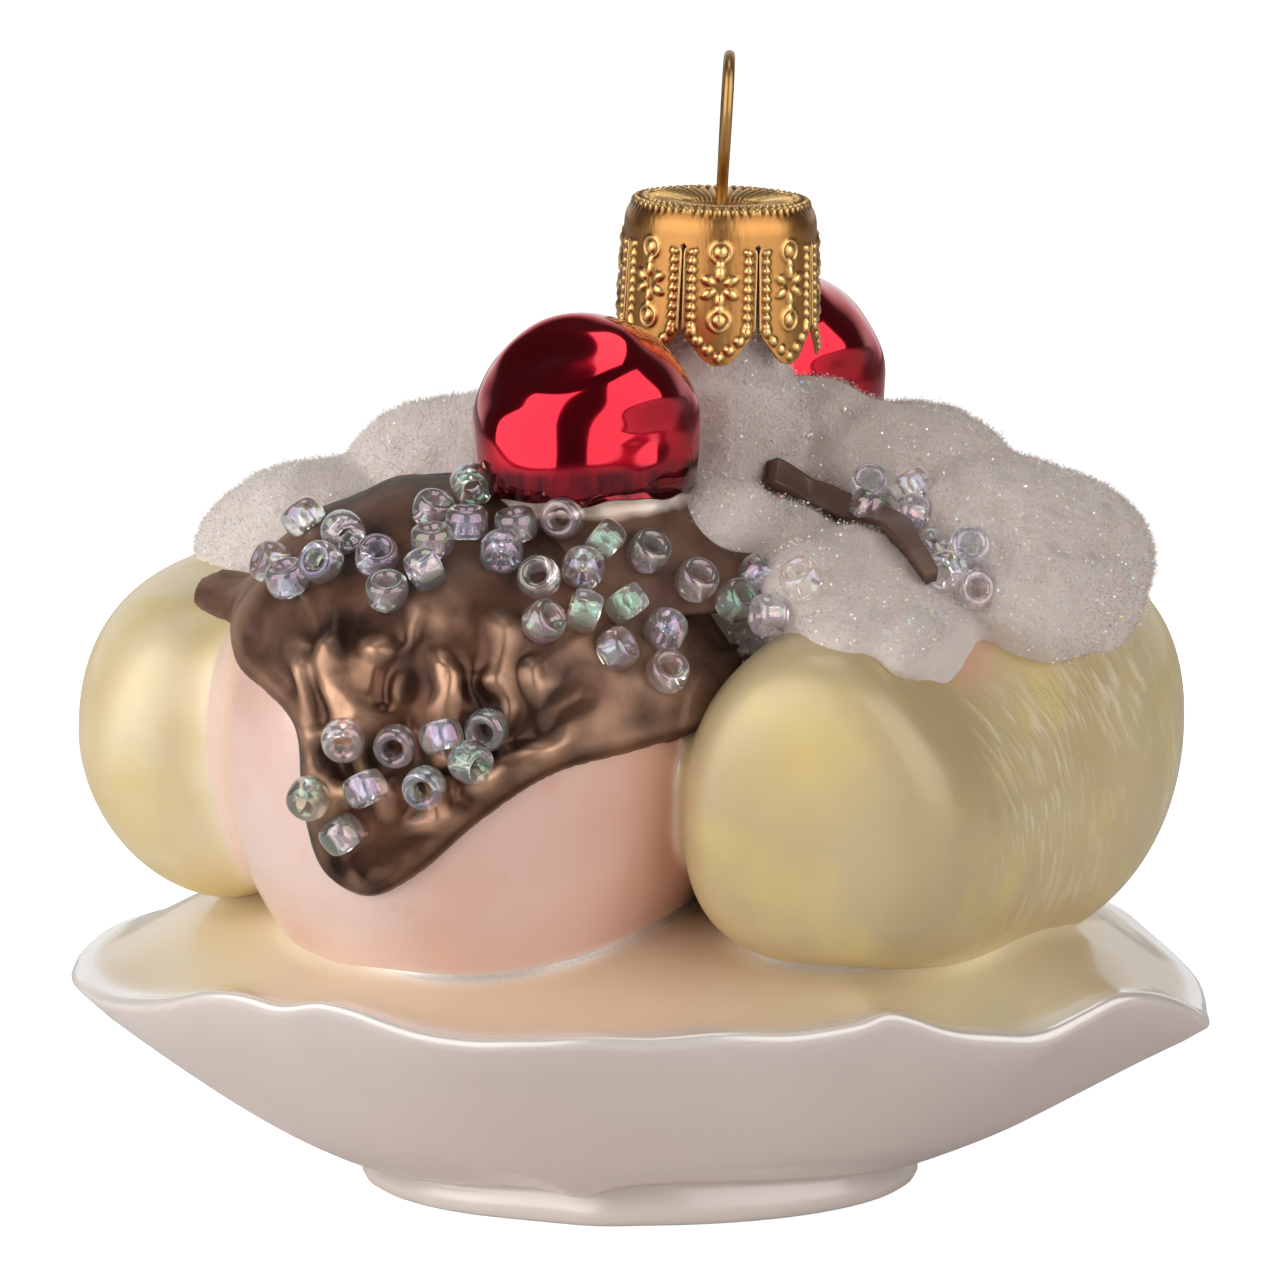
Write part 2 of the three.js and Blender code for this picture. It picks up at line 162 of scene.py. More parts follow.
def meshFromArrays(name, points, faces):  # triangles only
    mesh = bpy.data.meshes.new(name)
    mesh.vertices.add(len(points))
    mesh.vertices.foreach_set("co", np.asarray(points, np.float32).ravel())
    mesh.loops.add(len(faces) * 3)
    mesh.loops.foreach_set("vertex_index", np.asarray(faces, np.int32).ravel())
    mesh.polygons.add(len(faces))
    mesh.polygons.foreach_set("loop_start", np.arange(0, len(faces) * 3, 3, dtype=np.int32))
    mesh.update(calc_edges=True)
    return linked(name, mesh)


def finishPiece(piece, name, finish, node="glass_body", smooth=True):
    piece.name = name
    piece.data.name = name
    piece.scale = (millimetre,) * 3
    applyPlace(piece)
    if smooth:
        bpy.ops.object.shade_smooth()
    piece.data.materials.clear()
    piece.data.materials.append(finish)
    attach(piece, "root")
    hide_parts(node)


def spinProfile(profile, sides):  # a line of points is extruded one by one, then spun round Z
    piece = added(bpy.ops.mesh.primitive_plane_add, size=1, location=(profile[0][0], 0, profile[0][1]))
    applyPlace(piece)
    edit(piece)
    bpy.ops.mesh.merge(type="CENTER")
    for (radius, height), (nextRadius, nextHeight) in zip(profile, profile[1:]):
        step = (nextRadius - radius, 0, nextHeight - height)
        bpy.ops.mesh.extrude_region_move(TRANSFORM_OT_translate={"value": step})
    bpy.ops.mesh.select_all(action="SELECT")
    bpy.ops.mesh.spin(steps=sides, angle=fullTurn, center=(0, 0, 0), axis=(0, 0, 1))
    leaveEdit()
    tidyMesh(piece)
    return piece


def ball(segments, rings):
    return added(bpy.ops.mesh.primitive_uv_sphere_add, segments=segments, ring_count=rings, radius=1)


def sheet(columns, rows):  # a flat grid, with the column and row of each point and how far across it is
    piece = added(bpy.ops.mesh.primitive_grid_add, x_subdivisions=columns, y_subdivisions=rows, size=2)
    grid = getPoints(piece)
    column = ((grid[:, 0] + 1) / 2 * columns).round().astype(int)
    row = ((grid[:, 1] + 1) / 2 * rows).round().astype(int)
    return piece, column, row, grid[:, 0]


def treeOf(*pieces):  # one search tree over several pieces
    points, faces = [], []
    for piece in pieces:
        base = len(points)
        points.extend(v.co.copy() for v in piece.data.vertices)
        faces.extend([base + i for i in face.vertices] for face in piece.data.polygons)
    return BVHTree.FromPolygons(points, faces)


# shape helpers, on rows of points

def lerp(first, last, share):  # a share of the way from first to last
    return first + (last - first) * share


def smoothStep(low, high, value):
    share = np.clip((value - low) / (high - low), 0, 1)
    return share * share * (3 - 2 * share)


def bump(distance, breadth):
    return np.exp(-((distance / breadth) ** 2))


def power(value, exponent):  # keeps the sign
    return np.sign(value) * np.abs(value) ** exponent


def unitRows(rows):
    return rows / np.linalg.norm(rows, axis=1)[:, None]


def azimuthOf(points):
    return np.arctan2(points[:, 1], points[:, 0])


def polar(radius, azimuth, height):
    return np.column_stack([radius * np.cos(azimuth), radius * np.sin(azimuth), height])


def bumps(value, places):  # each a place, a breadth and a height
    return sum(height * bump(value - place, breadth) for place, breadth, height in places)


def ripples(points, wavelength, seed, count=28):  # soft irregular swelling, about -1 to 1
    chance = np.random.default_rng(seed)
    total = np.zeros(len(points))
    for _ in range(count):
        way = chance.normal(size=points.shape[1])
        way *= fullTurn / wavelength / np.linalg.norm(way) * chance.uniform(0.6, 1.5)
        total += np.sin(points @ way + chance.uniform(0, fullTurn))
    return total / math.sqrt(count)


def splinePoints(knots, count):  # even steps along a smooth curve through the knots
    k = np.asarray(knots, float)
    k = np.vstack([2 * k[0] - k[1], k, 2 * k[-1] - k[-2]])
    s = np.linspace(0, 1, 60, endpoint=False)[:, None]
    spans = []
    for p0, p1, p2, p3 in zip(k, k[1:], k[2:], k[3:]):
        d0, d1, d2 = (np.linalg.norm(b - a) ** 0.5 for a, b in ((p0, p1), (p1, p2), (p2, p3)))
        leave = ((p1 - p0) / d0 - (p2 - p0) / (d0 + d1) + (p2 - p1) / d1) * d1
        arrive = ((p2 - p1) / d1 - (p3 - p1) / (d1 + d2) + (p3 - p2) / d2) * d1
        spans.append((2 * s ** 3 - 3 * s ** 2 + 1) * p1 + (s ** 3 - 2 * s ** 2 + s) * leave
                     + (3 * s ** 2 - 2 * s ** 3) * p2 + (s ** 3 - s ** 2) * arrive)
    dense = np.vstack([*spans, k[-2]])
    run = np.concatenate([[0], np.cumsum(np.linalg.norm(np.diff(dense, axis=0), axis=1))])
    at = np.linspace(0, run[-1], count)
    return np.column_stack([np.interp(at, run, dense[:, i]) for i in range(dense.shape[1])])


def inParts(points, size=10000):  # long rows are worked through in parts, to spare memory
    return [slice(first, first + size) for first in range(0, len(points), size)]


def insideDepth(points, outline):  # how far inside a closed outline, negative outside
    ends = np.roll(outline, -1, axis=0)
    edge = ends - outline
    rise = np.where(edge[:, 1] == 0, 1e-12, edge[:, 1])
    depth = np.empty(len(points))
    for part in inParts(points):
        p = points[part, None, :]
        along = np.clip(((p - outline) * edge).sum(2) / (edge ** 2).sum(1), 0, 1)
        near = np.linalg.norm(p - outline - along[..., None] * edge, axis=2).min(1)
        across = (outline[:, 1] > p[..., 1]) != (ends[:, 1] > p[..., 1])
        crossing = outline[:, 0] + (p[..., 1] - outline[:, 1]) / rise * edge[:, 0]
        inside = (across & (p[..., 0] < crossing)).sum(1) % 2 == 1
        depth[part] = np.where(inside, near, -near)
    return depth


def nearestOnLine(points, line):  # distance to the nearest point of a line, and which one
    distance, index = np.empty(len(points)), np.empty(len(points), int)
    for part in inParts(points):
        apart = np.linalg.norm(points[part, None, :] - line, axis=2)
        index[part] = apart.argmin(1)
        distance[part] = apart.min(1)
    return distance, index


def inTurn(points):  # where the half turn takes points
    return np.column_stack([2 * turnLine - points[:, 0], -points[:, 1], points[:, 2]])


# shader helpers

def paint(red, green, blue):  # a screen colour from 0 to 255 as a shader colour
    def linear(part):
        share = part / 255
        return share / 12.92 if share <= 0.04045 else ((share + 0.055) / 1.055) ** 2.4
    return (linear(red), linear(green), linear(blue), 1.0)


class Socket:  # a shader value that can be added, multiplied and so on
    def __init__(self, tree, socket):
        self.tree = tree
        self.socket = socket

    def maths(self, operation, *others, clamp=False):
        node = self.tree.nodes.new("ShaderNodeMath")
        node.operation = operation
        node.use_clamp = clamp
        for place, value in zip(node.inputs, (self, *others)):
            if isinstance(value, Socket):
                self.tree.links.new(value.socket, place)
            else:
                place.default_value = value
        return Socket(self.tree, node.outputs[0])

    def __add__(self, other):
        return self.maths("ADD", other)

    __radd__ = __add__

    def __sub__(self, other):
        return self.maths("SUBTRACT", other)

    def __rsub__(self, other):
        return self.maths("MULTIPLY", -1) + other

    def __mul__(self, other):
        return self.maths("MULTIPLY", other)

    __rmul__ = __mul__

    def __truediv__(self, other):
        return self.maths("DIVIDE", other)

    def between(self, low, high):  # 0 below low, 1 above high
        return (self - low).maths("DIVIDE", high - low, clamp=True)


class Finish:  # a material and the nodes that it is made of; its colours are screen colours, 0 to 255
    def __init__(self, name):
        self.material = bpy.data.materials.new(name)
        self.material.use_nodes = True
        self.tree = self.material.node_tree
        self.tree.nodes.clear()
        self.place = self.node("ShaderNodeTexCoord", output="Object")

    def node(self, kind, settings=None, inputs=None, output=0):
        node = self.tree.nodes.new(kind)
        for key, value in (settings or {}).items():
            if key == "stops":
                ramp = node.color_ramp
                while len(ramp.elements) < len(value):
                    ramp.elements.new(0.5)
                for element, (position, colour) in zip(ramp.elements, value):
                    element.position = position
                    element.color = paint(*colour)
            else:
                setattr(node, key, value)
        for key, value in (inputs or {}).items():
            place = next(s for s in node.inputs if key in (s.identifier, s.name))
            if isinstance(value, Socket):
                self.tree.links.new(value.socket, place)
            else:
                place.default_value = value
        return Socket(self.tree, node.outputs[output]) if len(node.outputs) else node

    def noise(self, size, detail=3.0):  # size in millimetres
        return self.node("ShaderNodeTexNoise", inputs={
            "Vector": self.place, "Scale": 1 / (size * millimetre), "Detail": detail, "Roughness": 0.5})

    def streaks(self, x, y, z, detail=3.0):  # a noise that is drawn out, over three numbers
        vector = self.node("ShaderNodeCombineXYZ", inputs={"X": x, "Y": y, "Z": z})
        return self.node("ShaderNodeTexNoise", inputs={"Vector": vector, "Scale": 1.0, "Detail": detail})

    def attributes(self, *names):
        return [self.node("ShaderNodeAttribute", {"attribute_name": name}, output="Fac") for name in names]

    def axis(self, letter):  # the object's own x, y or z in millimetres
        return self.node("ShaderNodeSeparateXYZ", inputs={"Vector": self.place}, output=letter) / millimetre

    def spot(self, place, inner, outer):  # 1 within the inner distance from a place, 0 past the outer one
        apart = self.node("ShaderNodeVectorMath", {"operation": "DISTANCE"},
                          {"Vector": self.place, "Vector_001": Vector(place) * millimetre}, output="Value")
        return 1 - (apart / millimetre).between(inner, outer)

    def mix(self, share, first, second):
        first, second = (paint(*each) if isinstance(each, tuple) else each for each in (first, second))
        return self.node("ShaderNodeMix", {"data_type": "RGBA"},
                         {"Factor_Float": share, "A_Color": first, "B_Color": second}, output=2)

    def coats(self, colour, *others):  # each a share and a colour, laid over what is there
        for share, other in others:
            colour = self.mix(share, colour, other)
        return colour

    def ramp(self, value, stops):
        return self.node("ShaderNodeValToRGB", {"stops": stops}, {"Fac": value})

    def relief(self, height, depth):  # height from 0 to 1, depth in millimetres
        return self.node("ShaderNodeBump", inputs={"Height": height, "Distance": depth * millimetre})

    def surface(self, inputs):
        shader = self.node("ShaderNodeBsdfPrincipled", inputs=inputs)
        self.node("ShaderNodeOutputMaterial", inputs={"Surface": shader})
        return self.material


# The dictionaries hold what a user would change, in millimetres unless they say otherwise. In studio and
# view, places and sizes are in metres and powers in watts.

# dish: a lathe profile spun round, stretched to an oval foot and a wavy rim

dish = {"footLength": 26.8, "footWidth": 22.4, "footHeight": 2.5, "frontFoot": 1.5, "rimLength": 54.4,
        "rimWidth": 45.5, "rimHeight": 22.5, "rimRound": 0.9, "crown": 31.0, "sides": 400, "crumple": 0.1,
        "swell": 0.25, "seamRound": 1.6}
# the foot, and the upper side from near the lip to the crown: distance from the middle and height
dishFoot = [(0, 0), (8, 0), (16, 0), (22, 0), (25.0, 0), (25.9, 0.12), (26.45, 0.45), (26.75, 1.0),
            (26.7, 1.6), (26.35, 2.1), (26.15, 2.5), (26.4, 2.95), (27.2, 3.4)]
dishTop = [(43.5, 26.4), (34, 29.3), (24.5, 30.8), (14, 31)]
# round the foot: degrees, breadth, then millimetres outwards or the share of frontFoot that it lifts
footBulges = [(-101, 9, 0.5), (-121, 12, -0.3)]
footLifts = [(-78, 48, 1), (-103, 6, -0.5)]
# round the rim from the left: degrees, then the swing out and the lift in millimetres
rimWave = [
    (-180, 0, -1.3), (-170, 0.5, -0.8), (-160, 0.8, -0.6), (-152, 0.6, 0.2), (-148.8, 0.4, 0.8),
    (-143, 0.1, 2.1), (-138, 0, 2.5), (-133, 0, 2.1), (-128, 0, 2.85), (-124, 0, 2.5), (-120, 0, 1.6),
    (-116, 0, 0.9), (-109, 0, 0.35), (-104, 0, 0.7), (-95, 0, 0.9), (-88, 0, 1.0), (-79, 0, 1.15),
    (-72, 0, 1.0), (-67, 0, 1.35), (-64, 0, 1.75), (-61, 0, 2.55), (-58, 0, 2.0), (-53.5, 0, 0.4),
    (-48.8, 0, -0.65), (-42, 0.4, -1.25), (-37, 1.2, 0.25), (-32.5, 2.0, 1.4), (-28, 2.6, 1.0),
    (-22, 3.1, -1.1), (-18, 3.1, -2.8), (-12, 1.2, -3.2), (-5, -0.1, -3.2), (5, -0.8, -3.0),
    (12, -1.0, -2.4), (18, -0.7, -1.8), (25, -0.2, -0.4), (32, 0, 0.3), (45, 0, 0.8), (62, 0.5, 2.0),
    (76, 0, 0.6), (90, 0, 1.0), (104, -0.2, 1.0), (116, 0, 2.2), (128, 0, 1.0), (140, 0, 0), (151, 0, -0.7),
    (158, 0, -0.7), (165, 0, -0.8), (172, 0, -1.2), (180, 0, -1.3)]


def ovalRadius(halfX, halfY, azimuth):
    return halfX * halfY / np.hypot(halfY * np.cos(azimuth), halfX * np.sin(azimuth))


def dishProfile():
    reach, level, edge = dish["rimLength"], dish["rimHeight"], dish["rimRound"]
    profile = list(dishFoot)
    for share in np.linspace(0.07, 0.93, 22):  # the wall
        profile.append((lerp(dish["footLength"], reach - 0.6, share),
                        lerp(dish["footHeight"], level - 2.1, share ** 1.3)))
    for angle in np.radians(np.linspace(-45, 95, 14)):  # the lip
        profile.append((reach - edge + edge * math.cos(angle), level - edge + edge * math.sin(angle)))
    upper = splinePoints([(52.8, level + 0.05), (50.8, level + 0.6), *dishTop], 72)
    return profile + [tuple(p) for p in upper] + [(0, dish["crown"])]


def rimAt(azimuth):
    wave = splinePoints(rimWave, 720)
    swing, lift = (np.interp(np.degrees(azimuth), wave[:, 0], wave[:, i]) for i in (1, 2))
    return ovalRadius(dish["rimLength"], dish["rimWidth"], azimuth) + swing, dish["rimHeight"] + lift


def shapeDish(points):
    radius = np.hypot(points[:, 0], points[:, 1])
    azimuth, height = azimuthOf(points), points[:, 2]
    turn = np.degrees(azimuth)
    foot = ovalRadius(dish["footLength"], dish["footWidth"], azimuth) + bumps(turn, footBulges)
    reach, rimHeight = rimAt(azimuth)
    outward = np.clip((radius - dish["footLength"]) / (dish["rimLength"] - dish["footLength"]), 0, None)
    stretched = np.where(outward > 0, lerp(foot, reach, outward), radius * foot / dish["footLength"])
    rim = np.column_stack([np.cos(azimuth), np.sin(azimuth)]) * dish["rimLength"]
    lift = (rimHeight - dish["rimHeight"]) * outward ** 3
    lift = lift + dish["crumple"] * ripples(rim, 14, 5) * outward ** 8
    lift = lift + dish["swell"] * ripples(rim, 30, 9) * np.sin(np.clip(outward, 0, 1) * math.pi)
    footTop = smoothStep(1.3, 2.3, height) * (1 - smoothStep(3.4, 8, height)) * (height < 12)
    return polar(stretched, azimuth, height + lift + dish["frontFoot"] * bumps(turn, footLifts) * footTop)


dishPiece = spinProfile(dishProfile(), dish["sides"])
setPoints(dishPiece, shapeDish(getPoints(dishPiece)))
print("dish spun and shaped:", len(dishPiece.data.vertices), "points")


# bananas: balls whose rings are laid out along a curved spine

banana = {"spine": [(16.4, -41.0, 43.4), (18.5, -32, 43.4), (26.4, -18, 43.8), (35, -5, 44.2), (38, 6, 44.4),
                    (37.2, 18, 44.5)],
          "halfBreadth": 15.2, "halfHeight": 16.6, "nearPeak": 1.95, "sectionPower": 2.3, "nearPower": 5.6,
          "farPower": 3.5, "unevenness": 0.006}
# how far down each banana reaches, and how square it is below at its near end and its far end
bananaBelow = {"front": (20.5, 2.7, 2.05), "back": (17.0, 2.3, 1.85)}
saddle = {"station": 0.22, "breadth": 0.2, "turn": math.radians(135), "spread": math.radians(34),
          "depth": 0.17}
bananaSpine = splinePoints(banana["spine"], 400)
spineEnd = len(bananaSpine) - 1
bananaWay = unitRows(np.gradient(bananaSpine, axis=0))
bananaSide = unitRows(np.cross((0, 0, 1), bananaWay))
bananaUp = np.cross(bananaWay, bananaSide)
bananaLength = np.linalg.norm(np.diff(bananaSpine, axis=0), axis=1).sum()


def bananaGirth(station):
    blunt = lerp(banana["nearPower"], banana["farPower"], smoothStep(0.3, 0.7, station))
    return (1 - np.abs(2 * station - 1) ** blunt) ** (1 / blunt)


def shapeBanana(points, below, nearSquare, farSquare):
    station = np.clip((1 - points[:, 2]) / 2, 0, 1)
    around = azimuthOf(points)
    step = station * spineEnd
    index = step.round().astype(int)
    spine = np.column_stack([np.interp(step, np.arange(spineEnd + 1), bananaSpine[:, i]) for i in range(3)])
    uneven = banana["unevenness"]
    swell = 1 - uneven + uneven * ripples(polar(1, around, station * 3), 2.2, 21)
    later = smoothStep(0.1, 0.5, station)
    under = points[:, 1] < 0
    lean = 2 / np.where(under, lerp(nearSquare, farSquare, later),
                        lerp(banana["nearPeak"], banana["sectionPower"], later))
    tall = np.where(under, lerp(banana["halfHeight"], below, smoothStep(0.1, 0.45, station)),
                    banana["halfHeight"])
    side = banana["halfBreadth"] * power(np.cos(around), lean)
    up = tall * power(np.sin(around), lean)
    # the outer shoulder sinks a little behind the near end
    sunk = bump(np.arctan2(up, side) - saddle["turn"], saddle["spread"])
    sunk = saddle["depth"] * sunk * bump(station - saddle["station"], saddle["breadth"])
    girth = bananaGirth(station) * swell * (1 - sunk)
    return spine + bananaSide[index] * (side * girth)[:, None] + bananaUp[index] * (up * girth)[:, None]


def buildBanana(side):
    piece = ball(168, 120)
    setPoints(piece, shapeBanana(getPoints(piece), *bananaBelow[side]))
    tidyMesh(piece)
    return piece


bananaFront = buildBanana("front")
bananaPlain = buildBanana("back")
bananaBack = turnedHalf(bananaPlain)
bpy.data.objects.remove(bananaPlain)


def bananaPlace(points):  # how far along the front banana, and shares of its girth sideways and up
    _, index = nearestOnLine(points, bananaSpine[::4])
    index = index * 4
    apart = points - bananaSpine[index]
    girth = np.maximum(bananaGirth(index / spineEnd), 0.05)  # never quite nothing at the ends
    run, side, up = ((apart * way[index]).sum(1) for way in (bananaWay, bananaSide, bananaUp))
    return (index / spineEnd * bananaLength + run, side / (banana["halfBreadth"] * girth),
            up / (banana["halfHeight"] * girth))


def bananaDepth(points):  # over 1 outside the front banana, under 1 inside
    _, side, up = bananaPlace(points)
    exponent = banana["sectionPower"]
    return (np.abs(side) ** exponent + np.abs(up) ** exponent) ** (1 / exponent)


# ice cream: balls that are longer below their middle

scoop = {"centre": (-15.5, -17.5, 47), "halfLength": 24.8, "halfDepth": 23.5, "above": 23.2, "below": 31,
         "taper": 0.17, "unevenness": 0.25}


def scoopHalves(up):  # half-sizes at a height from -1 to 1
    slim = 1 - scoop["taper"] * np.clip(-up, 0, 1) ** 2.2
    return np.column_stack([scoop["halfLength"] * slim, scoop["halfDepth"] * (0.4 + 0.6 * slim),
                            np.where(up > 0, scoop["above"], scoop["below"])])


def shapeScoop(points, grow=0.0):
    return points * (scoopHalves(points[:, 2]) + np.asarray(grow).reshape(-1, 1)) + scoop["centre"]


def scoopDepth(points):  # over 1 outside the front scoop, under 1 inside
    apart = points - scoop["centre"]
    up = apart[:, 2] / np.where(apart[:, 2] > 0, scoop["above"], scoop["below"])
    return np.linalg.norm(apart / scoopHalves(up), axis=1)


scoopFront = ball(160, 110)
scoopUnit = getPoints(scoopFront)
setPoints(scoopFront, shapeScoop(scoopUnit, scoop["unevenness"] * ripples(scoopUnit, 1.3, 31) - 0.2))
scoopBack = turnedHalf(scoopFront)
print("bananas and scoops shaped")


# food: bananas and scoops melted into one skin, with soft hollows where they meet

# crisp and soft: how far from a crease the skin is smoothed; blend: how far one paint runs into the next
food = {"grain": 0.64, "crisp": 2.6, "soft": 6.5, "blend": 1.2, "seamEnds": (26, 19), "furthest": 9.0}


def creaseSmooth(piece, weights, factor, iterations):
    group = piece.vertex_groups.new(name="crease")
    levels = np.round(weights * 8) / 8
    for level in np.unique(levels[levels > 0]):
        group.add(np.nonzero(levels == level)[0].tolist(), float(level), "REPLACE")
    applyModifier(piece, "SMOOTH", factor=factor, iterations=iterations, vertex_group="crease")
    piece.vertex_groups.clear()


def distances(points, tree):  # to a surface, with its nearest points and the way it faces there
    apart, nearest, facing = np.full(len(points), food["furthest"]), points.copy(), np.zeros_like(points)
    for i, point in enumerate(points):
        near, normal, _, distance = tree.find_nearest(Vector(point), food["furthest"])
        if near is not None:
            apart[i], nearest[i], facing[i] = distance, near, normal
    return apart, nearest, facing


def seamShare(points):  # the seam shows bare at the front and the back
    return smoothStep(*food["seamEnds"], np.abs(points[:, 0] - turnLine))


def buildFood():
    parts = [bananaFront, bananaBack, scoopFront, scoopBack]
    trees = [treeOf(part) for part in parts]
    piece = joinPieces([copyPiece(part) for part in parts])
    applyModifier(piece, "REMESH", mode="VOXEL", voxel_size=food["grain"])
    points = getPoints(piece)
    found = [distances(points, tree) for tree in trees]
    apart = np.column_stack([each[0] for each in found])
    nearest = np.stack([each[1] for each in found])[apart.argmin(1), np.arange(len(points))]
    second = np.sort(apart, axis=1)[:, 1]
    onSkin = (apart.min(1) < 0.45) & (second > 0.6)  # near one part only, so it is laid right on it
    setPoints(piece, np.where(onSkin[:, None], nearest, points))
    creaseSmooth(piece, 1 - smoothStep(food["crisp"] * 0.4, food["crisp"], second), 0.6, 8)
    # the bananas run softly into the scoops beside their far ends
    left = np.where(points[:, 0] < -12, apart[:, 1] + apart[:, 2], 99)
    right = np.where(points[:, 0] > 11, apart[:, 0] + apart[:, 3], 99)
    creaseSmooth(piece, 1 - smoothStep(food["soft"] * 0.3, food["soft"], np.minimum(left, right)), 0.8, 36)
    applyModifier(piece, "SMOOTH", factor=0.5, iterations=2)
    points = getPoints(piece)
    fruit = smoothStep(-food["blend"], food["blend"], apart[:, 2:].min(1) - apart[:, :2].min(1))
    front = apart[:, 0] <= apart[:, 1]
    along, side, up = bananaPlace(np.where(front[:, None], points, inTurn(points)))
    around = np.arctan2(up, side)
    brushed = smoothStep(9, 20, along) * smoothStep(bananaLength - 6, bananaLength - 16, along)
    # the seam along the dish is bare silvered glass, whose white is partly a painted highlight
    setAttributes(piece, banana=fruit, scoop=1 - fruit,
                  seam=bump(distances(points, treeOf(dishPiece))[0], 0.8) * seamShare(points),
                  along=along + np.where(front, 0, 200), brushed=brushed,
                  aroundX=np.cos(around), aroundY=np.sin(around))
    return piece


foodPiece = buildFood()
for part in (bananaFront, bananaBack, scoopFront, scoopBack):
    bpy.data.objects.remove(part)
print("food melted:", len(foodPiece.data.vertices), "points")


def finishDish():  # the glass rises in a small round where the food stands on it
    points = getPoints(dishPiece)
    reach, height = rimAt(azimuthOf(points))
    radius = np.hypot(points[:, 0], points[:, 1])
    # the upper side, from the lip inwards
    surface = height - 0.2 + 3.8 * np.clip((0.975 - radius / reach) / 0.2, 0, 1)
    upper = smoothStep(-0.5, 0.5, points[:, 2] - np.where(radius > 0.972 * reach, 99, surface - 1.6))
    onTop = upper > 0.5
    away, nearest, facing = distances(points[onTop], treeOf(foodPiece))
    behind = (((points[onTop] - nearest) * facing).sum(1) < 0) & (away < food["furthest"] - 0.1)
    apart = np.full(len(points), food["furthest"])
    apart[onTop] = np.where(behind, -away, away)
    gap = np.clip(apart / dish["seamRound"], 0, 1)
    rise = dish["seamRound"] * (1 - np.sqrt(1 - (1 - gap) ** 2))
    points[:, 2] += np.where(apart < food["furthest"], rise, 0)
    setPoints(dishPiece, points)
    creaseSmooth(dishPiece, bump(apart, 1.6), 0.5, 5)
    # the lip and the seam are painted white: a pale pearl lip and bare silvered glass, partly painted
    # highlights
    setAttributes(dishPiece, upper=upper, seam=bump(apart - 0.2, 0.7) * seamShare(points),
                  lip=bump(np.hypot(radius - reach + 1.2, points[:, 2] - height), 1.2))


finishDish()


# sauce: the scoop's skin, raised inside an outline and folded

sauce = {"thickness": 1.35, "edgeBreadth": 1.5, "reachBehind": 10, "foldDepth": 1.1, "lip": 0.35,
         "ripple": 0.42, "unevenness": 0.2}
# across and up, seen from the front
sauceOutline = [(-12, 78), (-24, 75), (-32, 69), (-35.5, 62), (-38, 57.5), (-37, 54.4), (-34.5, 53),
                (-31.8, 50.5), (-31, 43), (-29, 37), (-25, 35), (-21, 37), (-15, 42.5), (-8, 47), (0, 48.5),
                (5, 49.5), (9, 54), (11.5, 60), (9, 68), (0, 75)]
# wrinkles: two ends, across and up, then breadth and height
sauceFolds = [((-30.6, 57.4), (-29.4, 43), 1.1, 0.9), ((-28, 58), (-26.5, 50), 1.2, 0.8),
              ((-24.3, 56.5), (-26, 51), 1.4, 0.9), ((-22.3, 58.4), (-23.0, 54), 1.0, -1.0),
              ((-20.5, 60.5), (-23.6, 55), 0.9, 0.8), ((-17.2, 59.5), (-18.6, 50.5), 1.5, 0.9),
              ((-15.2, 57), (-15.6, 50), 1.2, -0.9), ((-12.9, 59), (-12.4, 53), 1.3, 0.9),
              ((-10.0, 56), (-9.6, 52), 1.0, 0.7), ((-11.0, 50.5), (-6.2, 53.4), 1.1, -0.7),
              ((-13.8, 47.6), (-8, 50.5), 1.2, 0.7), ((-21.5, 50), (-17.5, 46.5), 1.3, -0.8),
              ((-26.5, 45), (-24.5, 40), 1.3, 0.7), ((-22, 44), (-17, 43.5), 1.3, 0.6),
              ((-14.8, 63), (-19.6, 62), 1.6, 0.6), ((-6, 58), (1, 53), 1.8, 0.5)]


def fromLine(points, start, end):  # distance to a straight piece of line
    start, end = np.array(start, float), np.array(end, float)
    way = end - start
    along = np.clip(((points - start) @ way) / (way @ way), 0, 1)
    return np.linalg.norm(points - start - along[:, None] * way, axis=1)


def sauceRise(across, up, depth):
    flat = np.column_stack([across, up])
    bent = flat + 0.5 * np.column_stack([ripples(flat, 7, 41), ripples(flat, 7, 42)])
    folds = sum(height * bump(fromLine(bent, start, end), breadth)
                for start, end, breadth, height in sauceFolds)
    rippled = smoothStep(4, 16, -across) * smoothStep(64, 57, up)
    folds = folds * 0.9 + rippled * sauce["ripple"] * ripples(bent * (1, 0.85), 4.8, 47)
    folds = np.clip(folds + sauce["unevenness"] * ripples(flat, 9, 44), -0.95, 1.2)
    edge = np.clip(depth / sauce["edgeBreadth"], 0, 1)
    rise = sauce["thickness"] * np.sqrt(1 - (1 - edge) ** 2) + sauce["lip"] * bump(depth - 1.4, 1.0)
    rise = rise + sauce["foldDepth"] * folds * smoothStep(0.6, 3.0, depth)
    return np.where(depth < 0, -0.9 * np.clip(-depth / 0.5, 0, 1), rise)


